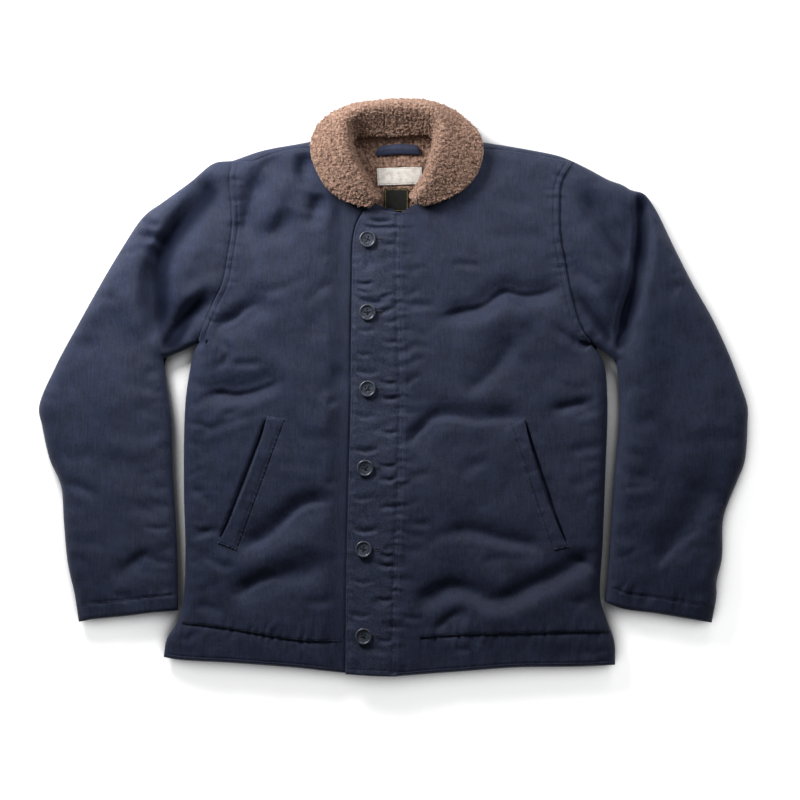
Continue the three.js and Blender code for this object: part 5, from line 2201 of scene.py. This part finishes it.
@dataclass
class Neck:
    """What shows inside the neck: the pile lining, the hanger loop and two labels, left blank."""

    finishes: Finishes
    lining_floor: float = WALL + FOLD_GAP
    loop_x: float = 6.0
    loop_y: float = 302.0
    loop_length: float = 56.0
    loop_width: float = 13.0
    loop_wall: float = 2.2
    rest_gap: float = 0.4
    label_wall: float = 0.8

    def lining(self) -> tuple[bpy.types.Object, Array]:
        """The pile lining inside the neck, with the seam where the stand is joined on.

        Returns:
            The object and the points of its face.
        """
        left = ((-58, 322), (-60, 300), (-51, 276), (-36, 252), (-19, 231))
        right = ((58, 322), (58, 300), (50, 276), (38, 251), (26, 229))
        patch = Patch(
            border(((-58, 322), (0, 324), (58, 322))),
            border(((-19, 231), (2, 220), (26, 229))),
            border(left),
            border(right),
        )
        grid = patch.grid(np.linspace(0.0, 1.0, 74), np.linspace(0.0, 1.0, 62))
        rise = 4.5 * smooth(grid[..., 1], 309.0, 322.0)
        base = (LINING_TOP - 2.4 + rise)[..., None]
        outer = np.concatenate([grid, base], axis=-1)
        inner = outer.copy()
        inner[..., 2] = self.lining_floor
        coarse, fine = lumps(outer, 4.4, 13), lumps(outer, 2.4, 15)
        # painted light and shade: the lumps' tops light and their gaps dark
        depth = 0.68 * coarse + 0.32 * fine
        seam = np.exp(-(((grid[..., 1] - 307.0) / 1.6) ** 2))
        flat = self._under_labels(grid)
        outer[..., 2] += (1.9 * coarse + 0.8 * fine) * flat - 1.2 * seam
        points, faces = closed_wall(outer, inner, 4)
        # painted shade: the pile is also darker along the seam where the stand is joined on
        values = np.concatenate([(depth * (1 - 0.7 * seam)).ravel(), np.full(len(points) - depth.size, 0.4)])
        mesh = Mesh()
        mesh.add(points, faces, depth=values * 0.9)
        made = mesh.make("neck_lining_pile", self.finishes.pile)
        dress(made, "pile", "neck_lining")
        Cut(118.0, 104.0, 8_900.0).declare(made, ["back"])
        return made, outer

    def _under_labels(self, grid: Array) -> Array:
        """How far the pile stands: less where a label presses it down.

        Args:
            grid: The places, (rows, columns, 2).

        Returns:
            One value or point for each place.
        """
        x, y = grid[..., 0], grid[..., 1]
        white = smooth(np.abs(x - 8.0), 27.0, 31.0) + smooth(np.abs(y - 270.0), 10.0, 13.0)
        black = smooth(np.abs(x - 4.0), 14.5, 17.5) + smooth(np.abs(y - 239.0), 13.5, 16.5)
        return 0.35 + 0.65 * np.clip(np.minimum(white, black), 0.0, 1.0)

    def loop(self) -> bpy.types.Object:
        """The hanger loop, a folded strap sewn down at both ends, with rounded edges.

        Returns:
            The object.
        """
        us, vs = np.linspace(0.0, 1.0, 60), np.linspace(0.0, 1.0, 16)
        u, v = np.meshgrid(us, vs)
        slack = np.sin(math.pi * u)
        narrowed = 1.0 - 0.38 * np.abs(2.0 * u - 1.0) ** 9
        x = self.loop_x + (u - 0.5) * self.loop_length * (1.0 - 0.1 * (v - 0.5))
        y = self.loop_y + (v - 0.5) * self.loop_width * narrowed + 2.5 * slack + 2.0 * (u - 0.5)
        round_off = np.sqrt(np.clip(1.0 - np.abs(2.0 * v - 1.0) ** 6, 0.0, 1.0))
        round_off *= np.sqrt(np.clip(1.0 - np.abs(2.0 * u - 1.0) ** 30, 0.0, 1.0))
        middle = LINING_TOP + self.rest_gap + self.loop_wall / 2 + 1.0 * slack
        rows = np.exp(-(((np.abs(2.0 * v - 1.0) - 0.72) / 0.09) ** 2))
        wave = 0.35 * noise(x, y, 7.0, 3) - 0.4 * rows + 0.8 * np.exp(-(((v - 0.55) / 0.2) ** 2))
        lift = self.loop_wall / 2 * round_off
        outer = np.stack([x, y, middle + lift + wave * round_off + 0.8 * slack * round_off], axis=-1)
        inner = np.stack([x, y, middle - lift], axis=-1)
        points, faces = closed_wall(outer, inner, 3)
        mesh = Mesh()
        rubbed = np.concatenate([(1.0 - round_off).ravel(), np.zeros(len(points) - u.size)])
        mesh.add(points, faces, wear_sheen_and_fold_shade=rubbed)
        made = mesh.make("hanger_loop_cloth", self.finishes.navy)
        dress(made, "navy_cloth", "hanger_loop")
        Cut(15.0, 58.0, 15.0 * 58.0).declare(made, ["neck_lining"])
        return made

    def label(self, colour: str, x: float, y: float, width: float, height: float, turn: float) -> None:
        """A blank woven label with folded ends and a row of stitches round it.

        Args:
            colour: Its tape, white or black.
            x: Its middle across.
            y: Its middle along.
            width: Its width.
            height: Its height.
            turn: How far it is turned.
        """
        us, vs = np.linspace(-0.5, 0.5, 58), np.linspace(-0.5, 0.5, 30)
        u, v = np.meshgrid(us, vs)
        cos, sin = math.cos(turn), math.sin(turn)
        px, py = u * width, v * height
        round_off = np.clip(1.0 - np.abs(2 * u) ** 40, 0, 1) * np.clip(1.0 - np.abs(2 * v) ** 24, 0, 1)
        round_off = np.sqrt(round_off)
        frame_row = np.maximum(np.abs(px) - (width / 2 - 1.6), np.abs(py) - (height / 2 - 1.6))
        dip = 0.25 * np.exp(-((frame_row / 0.5) ** 2))
        wave = 0.5 * noise(px + 40.0, py, 9.0, 5) * (1.0 - 0.5 * np.abs(2 * v))
        middle = LINING_TOP + self.rest_gap + self.label_wall / 2 + 0.3
        spot_x, spot_y = x + px * cos - py * sin, y + px * sin + py * cos
        top = middle + self.label_wall / 2 * round_off + wave - dip
        outer = np.stack([spot_x, spot_y, top], axis=-1)
        inner = np.stack([spot_x, spot_y, middle - self.label_wall / 2 * round_off + wave], axis=-1)
        points, faces = closed_wall(outer, inner, 2)
        mesh = Mesh()
        mesh.add(points, faces)
        tape = self.finishes.white_tape if colour == "white" else self.finishes.black_tape
        made = mesh.make(f"label_{colour}_tape", tape)
        dress(made, f"{colour}_tape", f"label_{colour}")
        Cut(width, height, width * height).declare(made, ["neck_lining"])
        self._label_thread(colour, made, (x, y), (width, height), turn)

    def _label_thread(
        self,
        colour: str,
        label: bpy.types.Object,
        centre: Sequence[float],
        size: Sequence[float],
        turn: float,
    ) -> None:
        """The stitches round a label, dull gold on the black one.

        Args:
            colour: The label's tape, white or black.
            label: The label.
            centre: Its middle.
            size: Its width and height.
            turn: How far it is turned.
        """
        sewing = Sewing(Ground([label]), pitch=2.2, stitch=1.6, radius=0.22)
        across, up = size[0] / 2 - 1.6, size[1] / 2 - 1.6
        corners = [(-across, -up), (across, -up), (across, up), (-across, up), (-across, -up)]
        cos, sin = math.cos(turn), math.sin(turn)
        placed = [(centre[0] + a * cos - b * sin, centre[1] + a * sin + b * cos) for a, b in corners]
        for start, end in zip(placed, placed[1:]):
            sewing.row(Line.through((start, end)), 0.05)
        thread = self.finishes.gold if colour == "black" else self.finishes.thread
        dress(sewing.mesh.make(f"label_{colour}_stitches", thread), f"{colour}_tape")

    def build(self) -> None:
        """Builds everything in the neck."""
        _, face = self.lining()
        beyond_loop = np.abs(face[..., 0] - self.loop_x) > 31.0
        beyond_loop |= np.abs(face[..., 1] - self.loop_y - 2.0) > 9.0
        roots = face[(self._under_labels(face) > 0.98) & beyond_loop]
        up = np.tile((0.0, 0.0, 1.0), (len(roots), 1))
        curls = CurlField(roots, up, np.ones(len(roots)), 900, 19, (0.8, 1.5))
        dress(curls.build("neck_lining_curls", self.finishes.pile), "pile")
        self.loop()
        self.label("white", 8.0, 270.0, 57.0, 22.0, 0.035)
        self.label("black", 4.0, 239.0, 31.0, 30.0, 0.0)


@dataclass
class Pockets:
    """The two slanting welts, each free along its outer edge over a slit."""

    ground: Ground
    sewing: Sewing
    finishes: Finishes
    wall: float = 1.9
    rest_gap: float = 0.3

    def welt(self, welt: Welt) -> bpy.types.Object:
        """A welt that lies on its front and lifts a little along its open edge.

        Args:
            welt: The welt's lines.

        Returns:
            The object.
        """
        side = welt.side.value
        us, vs = np.linspace(0.0, 1.0, 17), np.linspace(0.0, 1.0, 110)
        patch = Patch(
            border((welt.open_edge[0], welt.sewn_edge[0])),
            border((welt.open_edge[1], welt.sewn_edge[1])),
            border(welt.open_edge),
            border(welt.sewn_edge),
        )
        grid = patch.grid(us, vs)
        bow = np.sin(math.pi * vs) ** 0.8 * welt.gape
        across = grid[:, -1] - grid[:, 0]
        across /= np.linalg.norm(across, axis=1, keepdims=True)
        grid = grid + across[:, None] * (bow[:, None] * (1.0 - us[None]) ** 1.5)[..., None]
        spots = grid.reshape(-1, 2)
        floor = self.ground.heights(spots).reshape(grid.shape[:2])
        floor[:, :5] = np.maximum(floor[:, :5], floor[:, 5:6])
        lift = 2.0 * (1.0 - us)[None] ** 2 * np.sin(math.pi * vs)[:, None]
        rim = np.sqrt(np.clip(1.0 - np.abs(2 * us - 1) ** 9, 0, 1))[None]
        rim = rim * np.sqrt(np.clip(1.0 - np.abs(2 * vs - 1) ** 60, 0, 1))[:, None]
        wave = 0.28 * noise(spots[:, 0], spots[:, 1], 8.0, 21).reshape(grid.shape[:2])
        rows = np.exp(-(((us - 0.88) / 0.06) ** 2))[None]
        centre = floor + self.rest_gap + self.wall / 2 + lift
        outer = np.concatenate([grid, (centre + rim * (self.wall / 2 + wave - 0.4 * rows))[..., None]], -1)
        inner = np.concatenate([grid, (centre - rim * self.wall / 2)[..., None]], -1)
        points, faces = closed_wall(outer, inner, 2)
        mesh = Mesh()
        edge = np.exp(-((us / 0.1) ** 2))[None] * np.ones(grid.shape[:2])
        mesh.add(points, faces, wear_sheen_and_fold_shade=np.concatenate([edge.ravel(), np.zeros(len(points) - edge.size)]))
        made = mesh.make(f"pocket_welt_{side}_cloth", self.finishes.navy)
        dress(made, "navy_cloth", f"pocket_welt_{side}")
        cut = Cut(19.0, 173.0, 3_260.0) if welt.side is Side.RIGHT else Cut(14.0, 172.0, 2_340.0)
        cut.declare(made, [f"front_{side}"])
        return made

    def build(self) -> None:
        """Builds both welts and sews them down."""
        for welt in WELTS:
            made = self.welt(welt)
            self.sewing.ground.trees.append(BVHTree.FromObject(made, bpy.context.evaluated_depsgraph_get()))
            inset = Line.through(welt.sewn_edge)
            self.sewing.row(inset.moved(1.0 * welt.inward))
            self.sewing.row(inset.moved((welt.row_gap + 0.6) * -welt.inward * -1.0))
            self.sewing.row(Line.through(welt.open_edge).moved(-1.2 * welt.inward))
            for end in (0, -1):
                self.sewing.bar(welt.open_edge[end], welt.sewn_edge[end])


@dataclass
class Buttons:
    """Six four-hole buttons and their keyhole buttonholes."""

    ground: Ground
    sewing: Sewing
    finishes: Finishes
    diameter: float = 21.4
    height: float = 4.0
    hole: float = 1.1
    spacing: float = 4.6
    segments: int = 72

    def _disc(self) -> tuple[Array, list[Array]]:
        """A turned disc with a rounded rim, a groove inside it and a dished middle.

        Returns:
            The points and the faces.
        """
        r, h = self.diameter / 2, self.height
        profile = np.array(
            [
                (0.0, 0.0), (0.45, 0.0), (0.74, 0.0), (0.88, 0.1), (0.97, 0.3), (1.0, 0.55), (0.985, 0.78),
                (0.93, 0.95), (0.86, 1.0), (0.79, 0.93), (0.74, 0.74), (0.71, 0.6), (0.66, 0.58),
                (0.6, 0.6), (0.46, 0.55), (0.28, 0.5), (0.12, 0.48), (0.0, 0.48),
            ]
        )
        profile = spline(profile, np.linspace(0.0, 1.0, 44)) * (r, h)
        profile[:, 0] = np.maximum(profile[:, 0], 0.0)
        turns = np.linspace(0.0, math.tau, self.segments, endpoint=False)
        body = profile[1:-1]
        rings = np.stack(
            [
                body[:, None, 0] * np.cos(turns)[None],
                body[:, None, 0] * np.sin(turns)[None],
                np.repeat(body[:, 1:2], self.segments, axis=1),
            ],
            axis=-1,
        ).reshape(-1, 3)
        index = np.arange(len(body) * self.segments).reshape(len(body), self.segments)
        wrapped = np.concatenate([index, index[:, :1]], axis=1)
        low, high = len(rings), len(rings) + 1
        points = np.concatenate([rings, [(0, 0, profile[0, 1]), (0, 0, profile[-1, 1])]])
        fan_low = np.stack([wrapped[0, 1:], wrapped[0, :-1], np.full(self.segments, low)], -1)
        fan_high = np.stack([wrapped[-1, :-1], wrapped[-1, 1:], np.full(self.segments, high)], -1)
        faces = [grid_faces(wrapped), fan_low[:, ::-1], fan_high[:, ::-1]]
        if volume_of(points, faces) < 0.0:
            faces = [part[:, ::-1] for part in faces]
        return points, faces

    def _drill(self, made: bpy.types.Object) -> None:
        """Cuts the four holes.

        Args:
            made: The button.
        """
        cutters = []
        for sx, sy in itertools.product((-0.5, 0.5), repeat=2):
            place = (sx * self.spacing * MM, sy * self.spacing * MM, 0.0)
            bpy.ops.mesh.primitive_cylinder_add(
                vertices=20, radius=self.hole * MM, depth=4 * self.height * MM, location=place
            )
            cutters.append(bpy.context.active_object)
        for cutter in cutters:
            cut = made.modifiers.new("hole", "BOOLEAN")
            cut.operation = "DIFFERENCE"
            cut.solver = "EXACT"
            cut.object = cutter
        bpy.context.view_layer.update()
        graph = bpy.context.evaluated_depsgraph_get()
        drilled = bpy.data.meshes.new_from_object(made.evaluated_get(graph))
        made.modifiers.clear()
        made.data = drilled
        for cutter in cutters:
            bpy.data.objects.remove(cutter)

    def buttonhole(self, x: float, y: float) -> None:
        """A worked buttonhole that runs from under the button to its right, with a round end.

        Args:
            x: The button's place across.
            y: Its place along.
        """
        start, end, half = x + 1.0, x + 16.0, 2.0
        count = 26
        xs = np.linspace(start, end, count)
        for sign in (-1.0, 1.0):
            near = np.column_stack([xs, np.full(count, y + sign * 0.8)])
            away = np.column_stack([xs + 0.1, np.full(count, y + sign * half)])
            self._stitches(near, away)
        turns = np.linspace(-0.75 * math.pi, 0.75 * math.pi, 16)
        eye = np.array([end + 1.6, y])
        ring = np.column_stack([np.cos(turns), np.sin(turns)])
        self._stitches(eye + 1.4 * ring, eye + 2.6 * ring)

    def _stitches(self, near: Array, away: Array) -> None:
        """Short satin stitches from the slit outwards.

        Args:
            near: The ends at the slit.
            away: The outer ends.
        """
        lift = 0.2
        starts = np.column_stack([near, self.ground.heights(near) + lift])
        ends = np.column_stack([away, self.ground.heights(away) + lift])
        self.sewing.capsules(starts, ends, 0.34)

    def slits(self) -> bpy.types.Object:
        """The openings of the buttonholes, as thin lenses set in the placket, near black with painted shade.

        Returns:
            The object.
        """
        mesh = Mesh()
        for x, y in BUTTON_PLACES:
            u, v = np.meshgrid(np.linspace(0.0, 1.0, 30), np.linspace(-1.0, 1.0, 5))
            swell = 0.65 + 1.0 * np.exp(-(((u - 0.91) / 0.07) ** 2))
            swell *= np.sqrt(np.clip(1.0 - np.abs(2 * u - 1) ** 30, 0, 1))
            px, py = x + 1.0 + u * 18.4, y + v * swell
            floor = self.ground.heights(np.column_stack([px.ravel(), py.ravel()])).reshape(u.shape)
            top = np.stack([px, py, floor + 0.45 * (1 - np.abs(v) ** 4)], axis=-1)
            bottom = np.stack([px, py, floor - 0.2], axis=-1)
            points, faces = closed_wall(top, bottom, 1)
            mesh.add(points, faces)
        return dress(mesh.make("buttonhole_slits", self.finishes.dark), "navy_cloth")

    def build(self) -> None:
        """Builds the buttons, their thread and their buttonholes."""
        points, faces = self._disc()
        crossing = Mesh()
        self.slits()
        for number, (x, y) in enumerate(BUTTON_PLACES, 1):
            self.buttonhole(x, y)
            ring = np.linspace(0.0, math.tau, 12, endpoint=False)
            around = np.column_stack([x + 7.5 * np.cos(ring), y + 7.5 * np.sin(ring)])
            floor = float(self.ground.heights(around).max()) + 0.4
            mesh = Mesh()
            mesh.add(points, faces)
            made = mesh.make(f"button_{number}_plastic", self.finishes.button)
            self._drill(made)
            lean = math.radians((-2.5, 2.0, -1.5, 2.5, -2.0, 1.5)[number - 1])
            turn = math.radians((20, 48, 8, 64, 33, 77)[number - 1])
            made.rotation_euler = (lean, -lean, turn)
            made.location = (x * MM, y * MM, floor * MM)
            bpy.context.view_layer.update()
            made.data.transform(made.matrix_world)
            made.rotation_euler = (0.0, 0.0, 0.0)
            made.location = (0.0, 0.0, 0.0)
            made.data.shade_smooth()
            dress(made, "button_plastic", f"button_{number}")
            self._cross(crossing, x, y, floor, turn)
        dress(crossing.make("button_threads", self.finishes.dark), "navy_cloth")

    def _cross(self, mesh: Mesh, x: float, y: float, floor: float, turn: float) -> None:
        """The thread that crosses between the four holes of one button.

        Args:
            mesh: The mesh that the thread goes into.
            x: The button's place across.
            y: Its place along.
            floor: The height that the button lies at.
            turn: How far the button is turned.
        """
        sewing = Sewing(self.ground, mesh=mesh)
        half = self.spacing / 2
        corners = np.array([(-half, -half), (half, half), (-half, half), (half, -half)])
        cos, sin = math.cos(turn), math.sin(turn)
        placed = corners @ np.array([[cos, sin], [-sin, cos]]) + (x, y)
        height = floor + 0.48 * self.height
        points = np.column_stack([placed, np.full(4, height - 0.5)])
        middle = np.array([[x, y, height + 0.55]] * 4)
        for shift in (-0.35, 0.35):
            offset = np.array([shift, shift, 0.0])
            sewing.capsules(points + offset, middle + offset, 0.4)


@dataclass
class Studio:
    """The pale floor, the soft light and the camera straight above."""

    centre_x: float = 8.6
    centre_y: float = -17.2
    camera_height: float = 3000.0
    cloth_height: float = 22.0
    view_width: float = 1024.0
    sensor: float = 36.0
    key_power: float = 16.0
    top_power: float = 3.0
    fill: float = 0.09

    def floor(self) -> None:
        """A wide sheet of paper that falls away softly at its edges."""
        side = np.linspace(-6000.0, 6000.0, 41)
        x, y = np.meshgrid(side, side)
        drop = -0.4 - 40.0 * smooth(np.hypot(x, y), 4000.0, 8000.0)
        points = np.stack([x, y, drop], axis=-1)
        mesh = Mesh()
        index = np.arange(points.shape[0] * points.shape[1]).reshape(points.shape[:2])
        mesh.add(points, [grid_faces(index)[:, ::-1]])
        made = mesh.make("floor", FloorFinish().material())

    def camera(self) -> None:
        """The camera, looking straight down with +Y up in the picture."""
        data = bpy.data.cameras.new("camera")
        data.sensor_width = self.sensor
        data.lens = self.sensor * (self.camera_height - self.cloth_height) / self.view_width
        data.clip_end = 50.0
        made = bpy.data.objects.new("camera", data)
        made.location = (self.centre_x * MM, self.centre_y * MM, self.camera_height * MM)
        bpy.context.scene.collection.objects.link(made)
        bpy.context.scene.camera = made

    def light(self, name: str, place: Sequence[float], size: Sequence[float], power: float) -> None:
        """A soft box that faces the garment.

        Args:
            name: The light's name.
            place: Where it stands.
            size: Its two sides.
            power: Its power in watts.
        """
        data = bpy.data.lights.new(name, "AREA")
        data.shape = "RECTANGLE"
        data.size, data.size_y = size
        data.energy = power
        made = bpy.data.objects.new(name, data)
        made.location = place
        aim = Vector((0.0, -0.05, 0.0)) - Vector(place)
        made.rotation_euler = aim.to_track_quat("-Z", "Y").to_euler()
        bpy.context.scene.collection.objects.link(made)

    def build(self) -> None:
        """Sets the studio."""
        scene = bpy.context.scene
        scene.view_settings.view_transform = "Standard"
        world = bpy.data.worlds.new("studio")
        world.use_nodes = True
        background = world.node_tree.nodes["Background"]
        background.inputs["Color"].default_value = (0.92, 0.95, 1.0, 1.0)
        background.inputs["Strength"].default_value = self.fill
        scene.world = world
        self.floor()
        self.camera()
        self.light("key", (-0.62, 0.72, 0.53), (0.45, 0.28), self.key_power)
        self.light("top", (0.45, 0.62, 0.45), (0.5, 0.25), self.top_power)


def sew_seams(sewing: Sewing, drape: Drape) -> None:
    """Sews the rows along the armholes, shoulders, cuffs, hem and placket.

    Args:
        sewing: What the stitches are gathered in.
        drape: The cloth's form, with its grooves.
    """
    for half in HALVES:
        inward = half.inward
        armhole = Line.through(half.armhole)
        sewing.row(armhole.moved(1.3 * inward))
        sewing.row(armhole.moved(drape.stitch_inset * inward))
        sewing.row(Line.through(half.shoulder_seam).moved(-1.8 * inward))
        sewing.row(Line.through(half.cuff).moved(21.0 * inward))
        sewing.row(Line.through(half.hem_line).moved(1.4 * inward))
        sewing.row(Line.through(half.hem).moved(4.6 * inward))
        tick = armhole.at(np.array([0.55]))[0]
        sewing.bar(tick + (0.5 * inward, 0.0), tick + (8.0 * inward, 0.0), 1.6)
    sewing.row(Line.through(PLACKET_EDGE).moved(3.2))
    sewing.row(Line.through(PLACKET_SEAM).moved(3.8))
    start = LEFT.hem_line[-1]
    sewing.row(Line.through((start, (start[0], start[1] - 14.0))))


def main() -> None:
    """Builds the jacket and its studio."""
    logging.basicConfig(level=logging.INFO, format="%(message)s")
    finishes = Finishes.make()
    studio = Studio()
    studio.build()
    drape = Drape()
    panels = Panels(drape, finishes).build()
    ground = Ground(panels)
    sewing = Sewing(ground)
    Collar(Ground(panels), finishes).build()
    Neck(finishes).build()
    Pockets(ground, sewing, finishes).build()
    sew_seams(sewing, drape)
    Buttons(ground, sewing, finishes).build()
    sewing.build("stitches", finishes.thread)
    bpy.context.view_layer.update()


if __name__ == "__main__":
    main()
